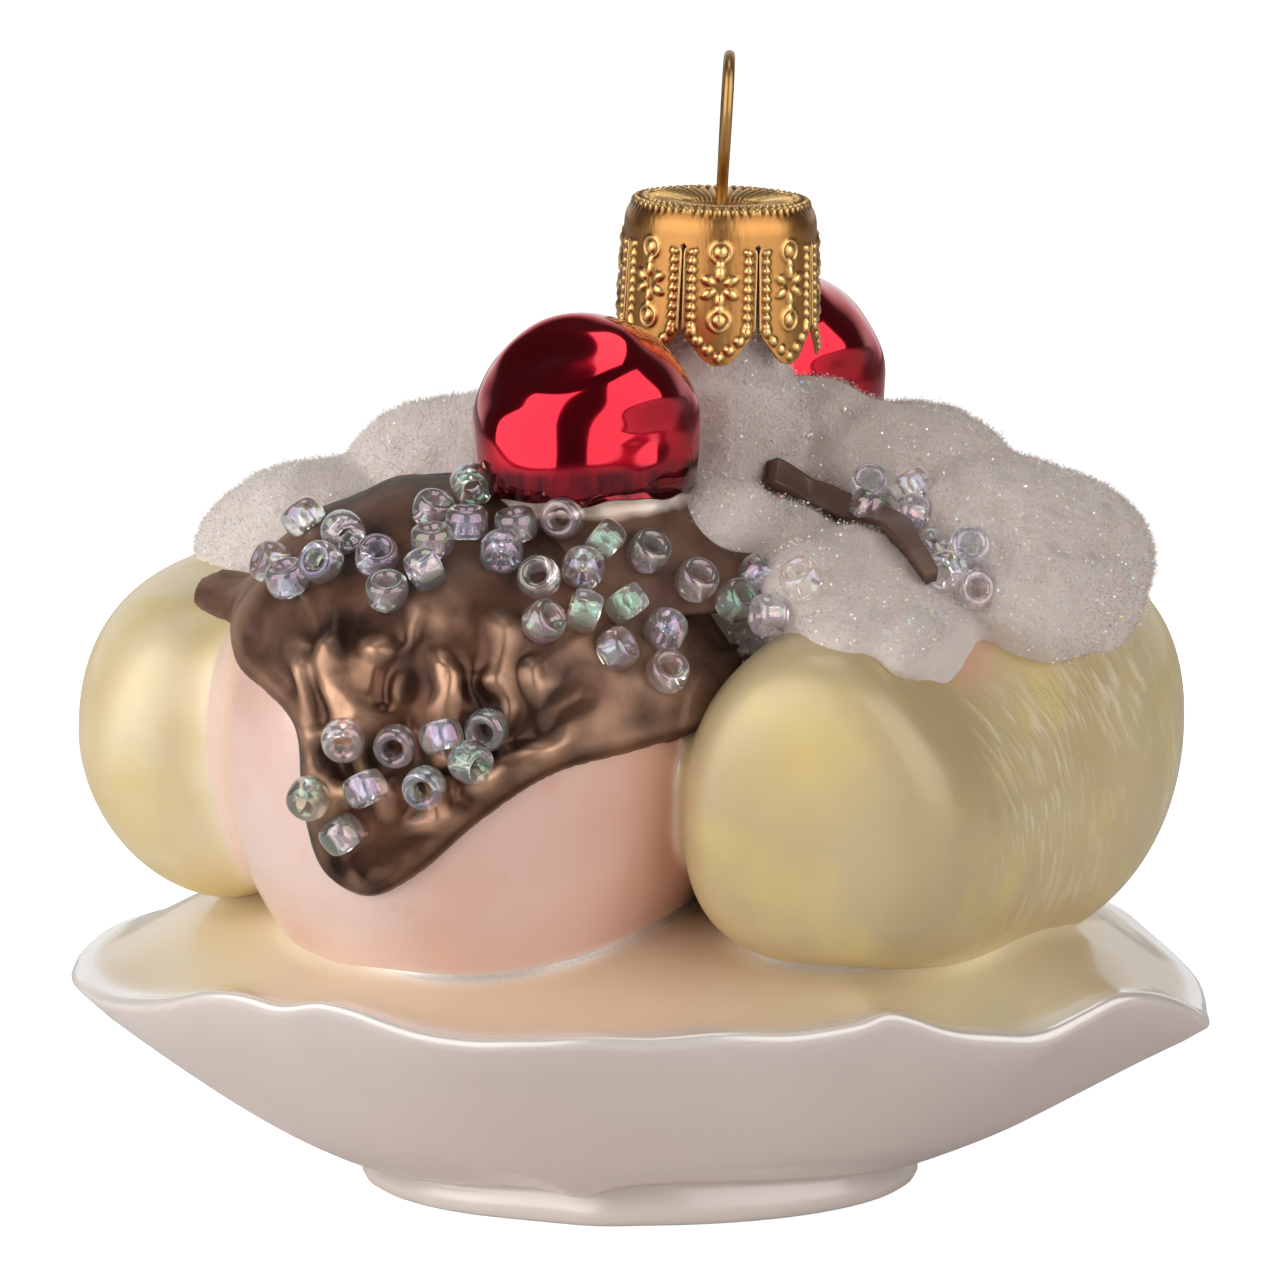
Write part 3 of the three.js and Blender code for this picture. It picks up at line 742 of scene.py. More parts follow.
def buildSauce():
    foodTree = treeOf(foodPiece)
    outline = splinePoints([*sauceOutline, sauceOutline[0]], 220)[:-1]
    centre = Vector(scoop["centre"])
    piece = ball(200, 132)

    def onScoop():  # the points laid on the scoop, and how far each is inside the outline
        points = shapeScoop(unitRows(getPoints(piece)))
        depth = insideDepth(points[:, [0, 2]], outline)
        return points, np.minimum(depth, centre.y + sauce["reachBehind"] - points[:, 1])

    deleteVertices(piece, onScoop()[1] < -1.6)
    edit(piece)
    bpy.ops.mesh.quads_convert_to_tris()
    bpy.ops.mesh.tris_convert_to_quads()
    bpy.ops.mesh.subdivide(number_cuts=1)
    leaveEdit()
    deleteVertices(piece, onScoop()[1] < -0.9)
    points, depth = onScoop()
    rise = sauceRise(points[:, 0], points[:, 2], depth)
    for i, point in enumerate(points):  # out on to the body where it swells
        way = (Vector(point) - centre).normalized()
        hit, _, _, _ = foodTree.ray_cast(centre + way * 60, -way)
        if hit is not None:
            swell = (hit - centre).length - (Vector(point) - centre).length
            points[i] += np.array(way) * min(max(swell, -0.3), 4.0 if point[0] < -22 else 0.3)
    outward = unitRows(points - np.array(scoop["centre"]))
    setPoints(piece, points + outward * rise[:, None])
    setAttributes(piece, height=rise)
    tidyMesh(piece, 0.0001)
    return piece


sauceFront = buildSauce()
sauceBack = turnedHalf(sauceFront)
print("sauce poured:", len(sauceFront.data.vertices), "points")


# cream: ridged mounds and the foot of the neck, melted together

# centre, half-sizes, ridges round, twist
creamMounds = [((34, -5, 59.5), (15.5, 17, 11.8), 4, 1.2), ((24, 6, 64), (14.5, 14, 11), 3, -1),
               ((21.5, -16.5, 54.5), (12.5, 18.5, 12), 3, 0.6), ((9, -9, 60), (12, 13, 9), 3, 0.6),
               ((-30.5, 4, 60), (12.5, 14, 9.8), 4, 1.2), ((-17, 7, 63.5), (13, 14, 12), 3, -1),
               ((-20, 15, 54), (14, 17, 12), 3, 0.6), ((19.5, -29, 58), (6, 8.5, 3.7), 2, 0.5),
               ((24.6, -29.5, 57), (4.2, 9, 4.2), 2, 0.5),
               ((37, -15, 59), (9.5, 11, 6.5), 2, 0.5), ((16.5, 7, 66), (9, 9, 11.5), 2, 0.5),
               ((7, -17, 66.6), (6.2, 8, 4.8), 2, 0.5), ((16.5, -24, 60.5), (6.5, 8, 6), 2, 0.5)]
cream = {"ridge": 0.5, "grain": 0.55, "inset": 0.35, "swell": 0.32, "unevenness": 0.12, "sink": 0.25}
# folds in the cream: a line through it, then breadth and depth
creamFolds = [([(39.4, -14.8, 67.4), (41.9, -10.9, 68.7), (44.3, -10.2, 67.6), (43.7, -14.7, 64.5),
                (41.2, -18.6, 63.3), (39.3, -18.8, 64.7)], 1.3, 0.34),
              ([(33.9, -15.5, 68.5), (33.9, -18.5, 66.1), (34.3, -21.9, 60.1)], 1.5, 0.36),
              ([(29.5, -8, 71), (30.5, -14, 68), (30, -19, 63)], 1.6, 0.26),
              ([(38, -21, 66), (37.5, -23.5, 62), (38.5, -24, 58)], 1.5, 0.28)]
neck = {"base": (6.6, 0, 55), "lean": math.radians(1.6), "collarRadius": 8.7, "collarTop": 78.6, "flare": 24,
        "throatRadius": 7.1, "throatTop": 90}
# the painted brown strip in the valley between two mounds; fall is the way it faces down on to the cream
strip = {"path": [(11.6, -8.4, 70.5), (14.4, -7.5, 69.4), (17.2, -7.2, 68), (19.9, -8.4, 66.8),
                  (22.6, -11.3, 65.2), (24.8, -16.6, 63), (26.2, -20, 61), (27.5, -23, 59.5)],
         "fall": (0.1, 0.75, -0.66), "halfBreadth": 1.6, "groove": 1.0, "grooveBreadth": 2.6, "stand": 0.65,
         "thickness": 1.6}
stripPath = splinePoints(strip["path"], 90)


def stoodOnAxis(piece):
    return movedBy(piece, Matrix.Translation((neck["base"][0], neck["base"][1], 0)))


def leaned(piece):
    return movedBy(piece, turnAbout(neck["base"], neck["lean"], "Y"))


def buildMound(centre, halves, ridges, twist):
    piece = ball(64, 44)
    points = getPoints(piece)
    swirl = np.sin(ridges * azimuthOf(points) + 3 * twist * points[:, 2])
    ridge = 1 + cream["ridge"] / halves[0] * (1 - points[:, 2] ** 4) * swirl - cream["inset"] / halves[0]
    setPoints(piece, points * halves * ridge[:, None] + centre)
    return piece


def buildCream():
    start = neck["base"][2]
    slope = []
    for share in np.linspace(0, 0.65, 12):
        radius = lerp(neck["flare"], neck["collarRadius"], 1 - (1 - share / 0.65) ** 2)
        slope.append((radius - cream["inset"], lerp(start, neck["collarTop"], share)))
    collar = neck["collarRadius"] - cream["inset"]
    radius, top = neck["throatRadius"], neck["throatTop"]
    shoulder = [(collar, 77.6), (collar - 0.7, 78.4), (radius, neck["collarTop"])]
    profile = [(0, start), *slope, *shoulder, (radius, top), (0, top)]
    throat = leaned(stoodOnAxis(spinProfile(profile, 64)))
    piece = joinPieces([buildMound(*mound) for mound in creamMounds] + [throat])
    applyModifier(piece, "REMESH", mode="VOXEL", voxel_size=cream["grain"])
    applyModifier(piece, "SMOOTH", factor=0.6, iterations=8)
    points, normals = getPoints(piece), getRows(piece.data.vertex_normals, "vector")
    fromStrip, _ = nearestOnLine(points, stripPath)
    rise = cream["swell"] * ripples(points, 13, 51) + cream["unevenness"] * ripples(points, 4.5, 52)
    rise -= cream["sink"] + strip["groove"] * bump(fromStrip, strip["grooveBreadth"])
    for knots, breadth, depth in creamFolds:
        fromFold, _ = nearestOnLine(points, splinePoints(knots, 60))
        rise += depth * (0.7 * bump(fromFold - 1.1 * breadth, 0.7 * breadth) - bump(fromFold, 0.75 * breadth))
    setPoints(piece, points + normals * rise[:, None])
    return piece


creamPiece = buildCream()
print("cream melted:", len(creamPiece.data.vertices), "points")


def buildStrip():  # a flat ribbon in the valley, narrower towards its lower end
    tree = treeOf(creamPiece)
    fall = np.array(strip["fall"]) / np.linalg.norm(strip["fall"])
    across = unitRows(np.cross(np.gradient(stripPath, axis=0), fall))
    piece, _, station, aside = sheet(10, len(stripPath) - 1)
    breadth = strip["halfBreadth"] * (1 - 0.6 * smoothStep(0.45, 1, station / (len(stripPath) - 1)))
    breadth = breadth * (1 + 0.04 * np.sin(station * 0.4))
    points = stripPath[station] + across[station] * (aside * breadth)[:, None]
    sunk = np.zeros(len(points))  # how far the cream lies below each point
    above = 8  # the search starts this far out
    for i, point in enumerate(points):
        distance = tree.ray_cast(Vector(point - fall * above), Vector(fall))[3]
        sunk[i] = 0 if distance is None else distance - above
    rows = np.bincount(station, sunk) / np.bincount(station)
    even = np.convolve(np.pad(rows, 5, mode="edge"), np.ones(11) / 11, mode="valid")
    level = lerp(sunk, even[station], 0.8) - strip["stand"]
    setPoints(piece, points + level[:, None] * fall)
    applyModifier(piece, "SMOOTH", factor=0.5, iterations=3)
    applyModifier(piece, "SOLIDIFY", thickness=strip["thickness"], offset=-1)
    tidyMesh(piece)
    return piece


stripPiece = buildStrip()


# cherries: balls pressed in where the stalk was, with a pale foot of glass round each

# disc is how far down the flat underside lies, which is hidden in the foot
cherry = {"radius": 10.6, "dimple": (-2.4, -5.6, 8.2), "dimpleDepth": 1.0, "dimpleBreadth": 3.4,
          "dimpleRim": 5.6, "squareness": 2.6, "paintEdge": -5.5, "scallop": 0.4, "twist": 0.1,
          "twistHeight": 3.3, "belly": 0.09, "disc": 9.2, "unevenness": 0.08}
# waves along the edge of the paint: how many, how high, how far turned
scallops = [(5, 0.5, 0.7), (9, 0.35, 0), (14, 0.3, 2)]
cherryCentres = [(-5, -20, 76), (13, 18, 75)]
# outwards and up from the middle: the side, then the flare on to what carries it
cherryFlare = [(9.5, -5.0), (9.45, -5.8), (9.6, -6.8), (10.2, -8.2), (11.1, -10.5), (12, -13), (12.6, -16)]


def cherryRadius(height):  # round above the middle, upright below it
    share = np.clip(np.abs(height) / cherry["radius"], 0, 1)
    upper = np.sqrt(1 - share ** 2)
    lower = (1 - np.clip(share * 0.86, 0, 1) ** cherry["squareness"]) ** (1 / cherry["squareness"])
    return cherry["radius"] * np.where(height > 0, upper, lower)


def buildCherry(centre):
    piece = ball(216, 160)
    points = getPoints(piece)
    azimuth = azimuthOf(points)
    waves = sum(height * np.sin(count * azimuth + turn) for count, height, turn in scallops)
    edge = cherry["paintEdge"] + cherry["scallop"] * waves
    height = points[:, 2] * cherry["radius"]
    under = height < -cherry["disc"]
    lower = np.where(under, edge, edge * np.clip(-height / cherry["disc"], 0, 1))
    level = np.where(height < 0, lower, height)
    radius = cherryRadius(level) + 0.1
    radius = np.where(height < 0, radius * (1 - 0.02 * smoothStep(-7.6, -9.2, height)), radius)
    discEdge = math.sqrt(1 - (cherry["disc"] / cherry["radius"]) ** 2)
    inDisc = np.clip(np.hypot(points[:, 0], points[:, 1]) / discEdge, 0, 1)
    around = polar(np.where(under, radius * inDisc, radius), azimuth, level)
    belly = cherry["belly"] * smoothStep(0.1, 0.8, -around[:, 1] / cherry["radius"])
    around[:, 1] -= belly * np.clip(1 - level, 0, 5) * np.where(under, 0, 1)
    dent = np.array(cherry["dimple"], float)
    dent *= cherry["radius"] / np.linalg.norm(dent)
    apart = np.linalg.norm((around - dent) * (0.85, 1, 1.15), axis=1)
    pressed = cherry["dimpleDepth"] * bump(apart, cherry["dimpleBreadth"])
    pressed -= 0.3 * bump(apart - cherry["dimpleRim"], 1.5)
    # the front is wrung a little about the middle
    facing = smoothStep(0.15, 0.85, -around[:, 1] / cherry["radius"])
    twist = cherry["twist"] * (np.tanh((around[:, 2] - cherry["twistHeight"]) / 1.3) - 0.15)
    pressed -= facing * twist * around[:, 0] + cherry["unevenness"] * ripples(around / 6, 1.1, 61)
    moved = around * (1 - pressed / cherry["radius"])[:, None]
    setPoints(piece, np.where(points[:, 2:] > -0.84, moved, around) + centre)
    # low marks the lower half, which the finish paints dark: a painted reflection of the sauce and beads
    # below
    setAttributes(piece, low=smoothStep(-1.6, -3.1, level))
    tidyMesh(piece)
    return piece


cherryPieces = [buildCherry(centre) for centre in cherryCentres]


def buildCherryFoot(centre):  # the glass that the cherry's paint stops short on
    smooth = splinePoints(cherryFlare, 30)
    piece = spinProfile([(0, -4.6), (9.4, -4.6), *map(tuple, smooth), (0, -16)], 128)
    points = getPoints(piece)
    azimuth = azimuthOf(points)
    waves = 0.05 * np.sin(3 * azimuth + 1) + 0.03 * np.sin(7 * azimuth)
    points[:, :2] *= (1 + waves * smoothStep(-6.5, -12, points[:, 2]))[:, None]
    inward = 1 if centre[0] < turnLine else -1  # it spreads towards the middle of the ornament
    spread = 5.5 * smoothStep(-6.2, -15, points[:, 2]) * np.clip(inward * np.cos(azimuth), 0, 1)
    points[:, 0] += inward * spread
    setPoints(piece, points + centre)
    return piece


cherryFeet = [buildCherryFoot(centre) for centre in cherryCentres]
print("cherries set")


# beads: rounded rings, dropped on what lies under them, in the same places as the solids'

bead = {"radius": 2.05, "halfLength": 1.4, "hole": 0.72, "sink": 0.62, "tumble": 0.45, "outwards": 0.5,
        "apart": 3.5, "nudge": 0.18}
dropSlope = math.radians(35)
frontOnly = ("crest", "crestLeft", "lowerRow", "strip", "stripEnd")
# across, how high square to the drop, and 1 where the hole faces outwards
beadGroups = {
    "leftShoulder": [(-31, 43.5, 0), (-27, 38.5, 0), (-29, 36, 0), (-34, 38.5, 0), (-31.5, 35, 1)],
    "underCherryLeft": [(-19, 40.5, 0), (-15.5, 43, 0), (-16, 38.5, 0), (-19, 36.5, 0)],
    "crestLeft": [(-24, 35.5, 0), (-23, 31.5, 0), (-19.5, 32.5, 0)],
    "underCherry": [(-11.5, 38.5, 1), (-7, 39.5, 0), (-3.5, 37, 0), (0.5, 37, 0)],
    "crest": [(-13, 34.5, 0), (-9.5, 32.5, 0), (-5.5, 34, 0)],
    "crestRight": [(-9, 28, 1), (-5.5, 29, 0), (-2, 31, 0), (1.5, 29.5, 0), (-2.5, 26.5, 1), (2, 25.5, 0)],
    "sauceEnd": [(5, 35, 1), (8.5, 34, 0), (10.5, 37, 0), (12, 33, 0), (15, 34.5, 1)],
    "lowerDrip": [(-27, 18, 0), (-30, 14.5, 0), (-27, 12, 0), (-24.5, 14, 0), (-22.5, 17.5, 1)],
    "lowerRow": [(-18, 17.5, 0), (-13.5, 18.5, 1), (-19.5, 13.5, 1), (-15, 14.5, 0)],
    "strip": [(22, 52.5, 0), (23, 49.5, 0), (26, 50.5, 0), (26, 47, 1)],
    "stripEnd": [(27, 40.5, 0), (30, 41.5, 0), (27.5, 37, 0), (31, 37, 1)]}
# each kind's tint, and the thickness of its film in nanometres
beadColours = {"Violet": ((240, 230, 248), 430), "Green": ((240, 245, 226), 540),
               "Blue": ((228, 238, 250), 480), "Clear": ((252, 247, 236), 340),
               "Rose": ((250, 234, 240), 610)}
beadKinds = list(beadColours)


def draws(state=7, multiplier=16807, modulus=2147483647):
    while True:
        state = state * multiplier % modulus
        yield state / modulus


def buildBead():  # a glass ring along Z, fuller than a plain torus
    wide = (bead["radius"] - bead["hole"]) / 2
    profile = []
    for angle in np.radians(np.arange(0, 360, 22.5)):
        profile.append((bead["hole"] + wide + wide * power(math.cos(angle), 0.9),
                        bead["halfLength"] * power(math.sin(angle), 0.85)))
    return spinProfile([*profile, profile[0]], 26)


def pushedClear(middle, normal, places):  # out of the beads that are there already
    for _ in range(24):
        close = [place for place in places if (place - middle).length < bead["apart"]]
        if not close:
            break
        away = sum(((middle - place).normalized() for place in close), Vector())
        middle = middle + (away * 0.5 + normal * 0.35).normalized() * bead["nudge"]
    return middle


def placeBeads():
    tree = treeOf(sauceFront, sauceBack, foodPiece, dishPiece, creamPiece, *cherryFeet)
    model = buildBead()
    chance = draws()
    places, groups = [], {kind: [] for kind in beadKinds}
    spots = [(False, spot) for group in beadGroups.values() for spot in group]
    spots += [(True, spot) for name, group in beadGroups.items() if name not in frontOnly for spot in group]
    uphill = Vector((0, -math.cos(dropSlope), math.sin(dropSlope)))
    for behind, (across, height, facing) in spots:
        turn = turnAbout((turnLine, 0, 0), math.pi, "Z") if behind else Matrix.Identity(4)
        start = Vector((across, height * math.sin(dropSlope), height * math.cos(dropSlope)))
        start = turn @ (start + uphill * 2 * dish["rimLength"])
        point, normal, _, _ = tree.ray_cast(start, turn.to_3x3() @ -uphill)
        spin = next(chance) * fullTurn
        lying = normal.cross(Vector((0, 0, 1))).normalized()
        lying.rotate(Matrix.Rotation(spin, 3, normal))
        facing = facing or (spin * 10) % 1 < bead["outwards"]
        axis = (normal + lying * bead["tumble"]).normalized() if facing else lying
        lift = (bead["halfLength"] if facing else bead["radius"]) - bead["sink"]
        middle = pushedClear(point + normal * lift, normal, places)
        places.append(middle)
        turnTo = Vector((0, 0, 1)).rotation_difference(axis).to_matrix().to_4x4()
        one = movedBy(copyPiece(model), Matrix.Translation(middle) @ turnTo)
        groups[beadKinds[(len(places) * 3 + int(spin * 5)) % len(beadKinds)]].append(one)
    bpy.data.objects.remove(model)
    return {kind: joinPieces(ones) for kind, ones in groups.items()}, places


beadPieces, beadPlaces = placeBeads()
print("beads placed:", len(beadPlaces))


# cap: one petal's share of a stamped bell, turned round eight times

cap = {"top": 94.9, "bottom": 80.25, "holeRadius": 2.6, "flatRadius": 7.7, "shoulder": 92.5,
       "shoulderRadius": 9.15, "bottomRadius": 9.6, "petals": 8, "slitTop": 91.6, "wall": 0.28, "columns": 46,
       "topRows": 26, "shoulderRows": 7, "skirtRows": 84}
# the petal's outline: height and half-width down to the tip
petalTip = [(83.2, 3.3), (82.9, 3.22), (82.4, 2.8), (81.55, 2.05), (80.85, 1.45), (80.4, 0.8), (80.25, 0.3)]
stamp = {"pitch": 0.88, "beadRadius": 0.42, "beadRise": 0.34, "chain": 0.82, "borderRise": 0.16,
         "columnsTop": 91.3, "columnsEnd": 83.5, "domes": (91.0, 84.5), "daisy": 87.7, "daisyReach": 1.25,
         "flutes": 48, "rings": ((7.3, 0.34), (8.1, 0.42)), "ringBeads": 62}
# larger beads along the tip: across and height
tipBeads = [(0, 81.05), (1.05, 81.75), (2.0, 82.6), (2.65, 83.45)]


def capLine(share):  # radius and height down the bell, 0 at the hole and 3 at the tips
    if share <= 1:
        return lerp(cap["holeRadius"], cap["flatRadius"], share), cap["top"] - 0.9 * (1 - share) ** 2
    if share <= 2:
        turn = (share - 1) * math.pi / 2
        return (lerp(cap["flatRadius"], cap["shoulderRadius"], math.sin(turn)),
                lerp(cap["shoulder"], cap["top"], math.cos(turn)))
    return (lerp(cap["shoulderRadius"], cap["bottomRadius"], share - 2),
            lerp(cap["shoulder"], cap["bottom"], share - 2))


def domeAt(distance, radius, rise):  # a round boss
    return rise * np.sqrt(np.clip(1 - (distance / radius) ** 2, 0, 1))


def stampRise(across, height, radius, half, azimuth, skirt):
    edge = half - np.abs(across)
    run = (height - stamp["columnsEnd"]) % stamp["pitch"] - stamp["pitch"] / 2
    inColumn = (height > stamp["columnsEnd"]) & (height < stamp["columnsTop"])
    chain = domeAt(np.hypot(edge - stamp["chain"], run), stamp["beadRadius"], stamp["beadRise"])
    border = stamp["borderRise"] * smoothStep(0.3, 0.16, edge)
    side = [chain * inColumn, border * inColumn]
    side += [domeAt(np.hypot(np.abs(across) - x, height - z), 0.5, 0.34) for x, z in tipBeads]
    for level in stamp["domes"]:
        apart = np.hypot(across, height - level)
        side += [domeAt(apart, 0.62, 0.34), 0.22 * bump(apart - 0.95, 0.15)]
    up = height - stamp["daisy"]
    reach = np.hypot(across, up)
    wedge = np.arctan2(up, across) % (math.pi / 3) - math.pi / 6
    petal = np.hypot((reach * np.cos(wedge) - stamp["daisyReach"]) / 1.6, reach * np.sin(wedge))
    side += [domeAt(petal, 0.45, 0.36), domeAt(np.hypot(across, (np.abs(up) - 2.1) * 0.8), 0.42, 0.3)]
    step = fullTurn / stamp["ringBeads"]
    around = (azimuth + step * 20) % step - step / 2
    top = [domeAt(np.hypot(radius - ring, around * ring * breadth / 0.38), breadth, 0.36)
           for ring, breadth in stamp["rings"]]
    fluted = 0.3 * (0.5 + 0.5 * np.cos(stamp["flutes"] * azimuth)) * smoothStep(3.0, 3.8, radius)
    top.append(fluted * smoothStep(7.15, 6.8, radius))
    return np.where(skirt, np.maximum.reduce(side), np.maximum.reduce(top))


def softened(rows, reach):  # a table of heights, blurred both ways
    for axis in (0, 1):
        rows = sum(np.roll(rows, k, axis) for k in range(-reach, reach + 1)) / (2 * reach + 1)
    return rows


def buildCap():
    shares = np.concatenate([np.linspace(0, 1, cap["topRows"], endpoint=False),
                             np.linspace(1, 2, cap["shoulderRows"], endpoint=False),
                             np.linspace(2, 3, cap["skirtRows"] + 1)])
    line = np.array([capLine(share) for share in shares])
    along = np.gradient(line, axis=0)
    outward = unitRows(np.column_stack([-along[:, 1], along[:, 0]]))
    sector, column, row, aside = sheet(cap["columns"], len(shares) - 1)
    row = len(shares) - 1 - row
    radius, height = line[row].T
    sectorHalf = math.pi / cap["petals"]
    tip = np.array(petalTip)[::-1]
    below = cap["slitTop"] - height
    slit = np.where(below > 0, 0.07 + 0.2 * bump(below, 0.5) + 0.016 * below, 0)
    half = np.minimum(radius * sectorHalf - slit, np.interp(height, tip[:, 0], tip[:, 1], right=9))
    across = aside * half
    azimuth = across / radius
    rise = stampRise(across, height, radius, half, azimuth, shares[row] > 1.75)
    table = np.zeros((len(shares), cap["columns"] + 1))
    table[row, column] = rise
    # hollow marks the recesses, which the finish paints darker: painted shade
    hollow = np.clip((softened(table, 2) - table)[row, column] * 9, 0, 1)
    setPoints(sector, polar(radius + outward[row, 0] * rise, azimuth, height + outward[row, 1] * rise))
    setAttributes(sector, rise=rise, hollow=hollow)
    piece = joinPieces([sector] + [movedBy(copyPiece(sector), Matrix.Rotation(2 * sectorHalf * k, 4, "Z"))
                                   for k in range(1, cap["petals"])])
    tidyMesh(piece, 0.002)
    applyModifier(piece, "SOLIDIFY", thickness=cap["wall"], offset=-1)
    return leaned(stoodOnAxis(piece))


capPiece = buildCap()
print("cap stamped:", len(capPiece.data.vertices), "points")


# hanger: a spring wire loop through the hole in the cap

hanger = {"wire": 1.1, "top": 109.1, "breadth": 8.6, "waist": 96.5, "spread": 1.2, "bottom": 86.0,
          "tilt": math.radians(3.2)}


def buildHanger():
    crown, half = hanger["top"] - hanger["wire"] / 2, hanger["breadth"] / 2
    side = [(hanger["spread"] * 2, hanger["bottom"]), (hanger["spread"], hanger["waist"] - 3),
            (hanger["spread"] * 1.1, hanger["waist"]), (half * 0.8, lerp(hanger["waist"], crown, 0.3)),
            (half, lerp(hanger["waist"], crown, 0.6)), (half * 0.72, lerp(hanger["waist"], crown, 0.9))]
    knots = [(0, -y, z) for y, z in side] + [(0, 0, crown)] + [(0, y, z) for y, z in reversed(side)]
    path = splinePoints(knots, 160)
    curve = bpy.data.curves.new("hanger", "CURVE")
    curve.dimensions = "3D"
    spline = curve.splines.new("POLY")
    spline.points.add(len(path) - 1)
    spline.points.foreach_set("co", np.column_stack([path, np.ones(len(path))]).astype(np.float32).ravel())
    curve.bevel_depth = hanger["wire"] / 2 - 0.02
    curve.bevel_resolution = 7
    curve.use_fill_caps = True
    pick(linked("hanger", curve))
    bpy.ops.object.convert(target="MESH")
    piece = bpy.context.object
    movedBy(piece, turnAbout((0, 0, cap["top"]), hanger["tilt"] - neck["lean"], "Y"))
    tidyMesh(piece)
    return leaned(stoodOnAxis(piece))


hangerPiece = buildHanger()


# flock and glitter on the cream

flock = {"fibres": 48000, "length": (0.35, 0.7), "breadth": 0.07, "tilt": 0.45, "fromStrip": 2.3}
glitter = {"flakes": 5200, "radius": (0.06, 0.13), "tilt": 0.6, "fromStrip": 2.4, "stand": (0.25, 0.6)}


def creamSpots(count, seed, keepFromStrip):  # even random places on the cream that shows
    mesh = creamPiece.data
    mesh.calc_loop_triangles()
    corners = np.empty(len(mesh.loop_triangles) * 3, np.int32)
    mesh.loop_triangles.foreach_get("vertices", corners)
    triangles = getPoints(creamPiece)[corners.reshape(-1, 3)]
    middles = triangles.mean(1)
    hidden = np.zeros(len(middles), bool)
    for places in (middles, inTurn(middles)):
        hidden |= (bananaDepth(places) < 0.97) | (scoopDepth(places) < 0.97)
    for centre in cherryCentres:
        hidden |= np.linalg.norm(middles - centre, axis=1) < cherry["radius"] - 0.2
    fromAxis = np.hypot(middles[:, 0] - neck["base"][0], middles[:, 1])
    hidden |= (fromAxis < 9) & (middles[:, 2] > cap["bottom"] + 3)
    fromStrip, _ = nearestOnLine(middles, stripPath)
    hidden |= fromStrip < keepFromStrip
    square = np.cross(triangles[:, 1] - triangles[:, 0], triangles[:, 2] - triangles[:, 0])
    areas = np.linalg.norm(square, axis=1) / 2
    areas[hidden] = 0
    chance = np.random.default_rng(seed)
    chosen = chance.choice(len(areas), count, p=areas / areas.sum())
    u, v = chance.random(count), chance.random(count)
    flip = u + v > 1
    u[flip], v[flip] = 1 - u[flip], 1 - v[flip]
    t = triangles[chosen]
    points = t[:, 0] + u[:, None] * (t[:, 1] - t[:, 0]) + v[:, None] * (t[:, 2] - t[:, 0])
    print("cream that shows, square millimetres:", round(float(areas.sum())))
    return points, unitRows(square[chosen]), chance


def leaning(normals, tilt, chance):  # ways that lean from the normals, and two directions square to each
    ways = unitRows(normals + tilt * chance.normal(size=normals.shape))
    other = unitRows(np.cross(ways, chance.normal(size=ways.shape)))
    return ways, other, np.cross(ways, other)


def ring(middle, radius, first, second, sides):
    angles = np.arange(sides) * fullTurn / sides
    return [middle + radius * (math.cos(a) * first + math.sin(a) * second) for a in angles]


def scattered(name, corners, faces):  # one mesh of many small bodies; faces are those of one of them
    bodies = np.arange(len(corners[0]))[:, None, None] * len(corners)
    points = np.stack(corners, axis=1).reshape(-1, 3)
    return meshFromArrays(name, points, (bodies + np.array(faces)).reshape(-1, 3))


def buildFlock():  # each fibre is a slim three-sided spike
    points, normals, chance = creamSpots(flock["fibres"], 71, flock["fromStrip"])
    ways, first, second = leaning(normals, flock["tilt"], chance)
    corners = ring(points - normals * 0.1, flock["breadth"] / 2, first, second, 3)
    tips = points + ways * chance.uniform(*flock["length"], size=(len(points), 1))
    return scattered("creamFlock", [*corners, tips], [(0, 1, 3), (1, 2, 3), (2, 0, 3), (2, 1, 0)])


def buildGlitter():  # small six-sided plates among the fibres
    points, normals, chance = creamSpots(glitter["flakes"], 72, glitter["fromStrip"])
    _, first, second = leaning(normals, glitter["tilt"], chance)
    radius = chance.uniform(*glitter["radius"], size=(len(points), 1))
    middle = points + normals * chance.uniform(*glitter["stand"], size=(len(points), 1))
    corners = ring(middle, radius, first, second, 6)
    piece = scattered("creamGlitter", corners, [(0, 1, 2), (0, 2, 3), (0, 3, 4), (0, 4, 5)])
    setAttributes(piece, tint=np.repeat(chance.random(len(points)), 6))
    return piece


flockPiece = buildFlock()
glitterPiece = buildGlitter()
print("flock and glitter laid")


# finishes

# across the dish from the left
pearlBands = [(0.0, (224, 204, 174)), (0.16, (238, 222, 190)), (0.36, (232, 204, 174)),
              (0.56, (228, 197, 169)), (0.78, (242, 228, 186)), (0.94, (222, 200, 166))]
# the left underside and the foot are painted lighter and the right underside darker: painted light and shade;
# the white lip and the bare silvered seam are partly painted highlights
pearlTints = {"under": ((214, 197, 188), (224, 209, 201)), "underLeftPaintedLight": (238, 224, 214),
              "underRightPaintedShade": (204, 186, 176), "foot": (246, 236, 228), "lip": (252, 249, 246),
              "seam": (240, 238, 236)}
# tan is painted shade on the right banana's side; brown is painted shade on the near end's face
bananaTints = {"yellow": ((232, 214, 174), (220, 194, 140)), "tan": ((206, 182, 134), (190, 166, 118)),
               "brown": (176, 152, 108), "strokes": (244, 230, 204), "lemon": (222, 200, 116),
               "ripe": (232, 206, 122), "orange": (234, 172, 88), "blush": (226, 170, 142)}
# rose is painted shade towards the right of the scoop
scoopTints = {"pink": ((240, 208, 196), (234, 182, 162)), "rose": (216, 156, 130), "red": (222, 146, 124),
              "pale": (226, 200, 184)}
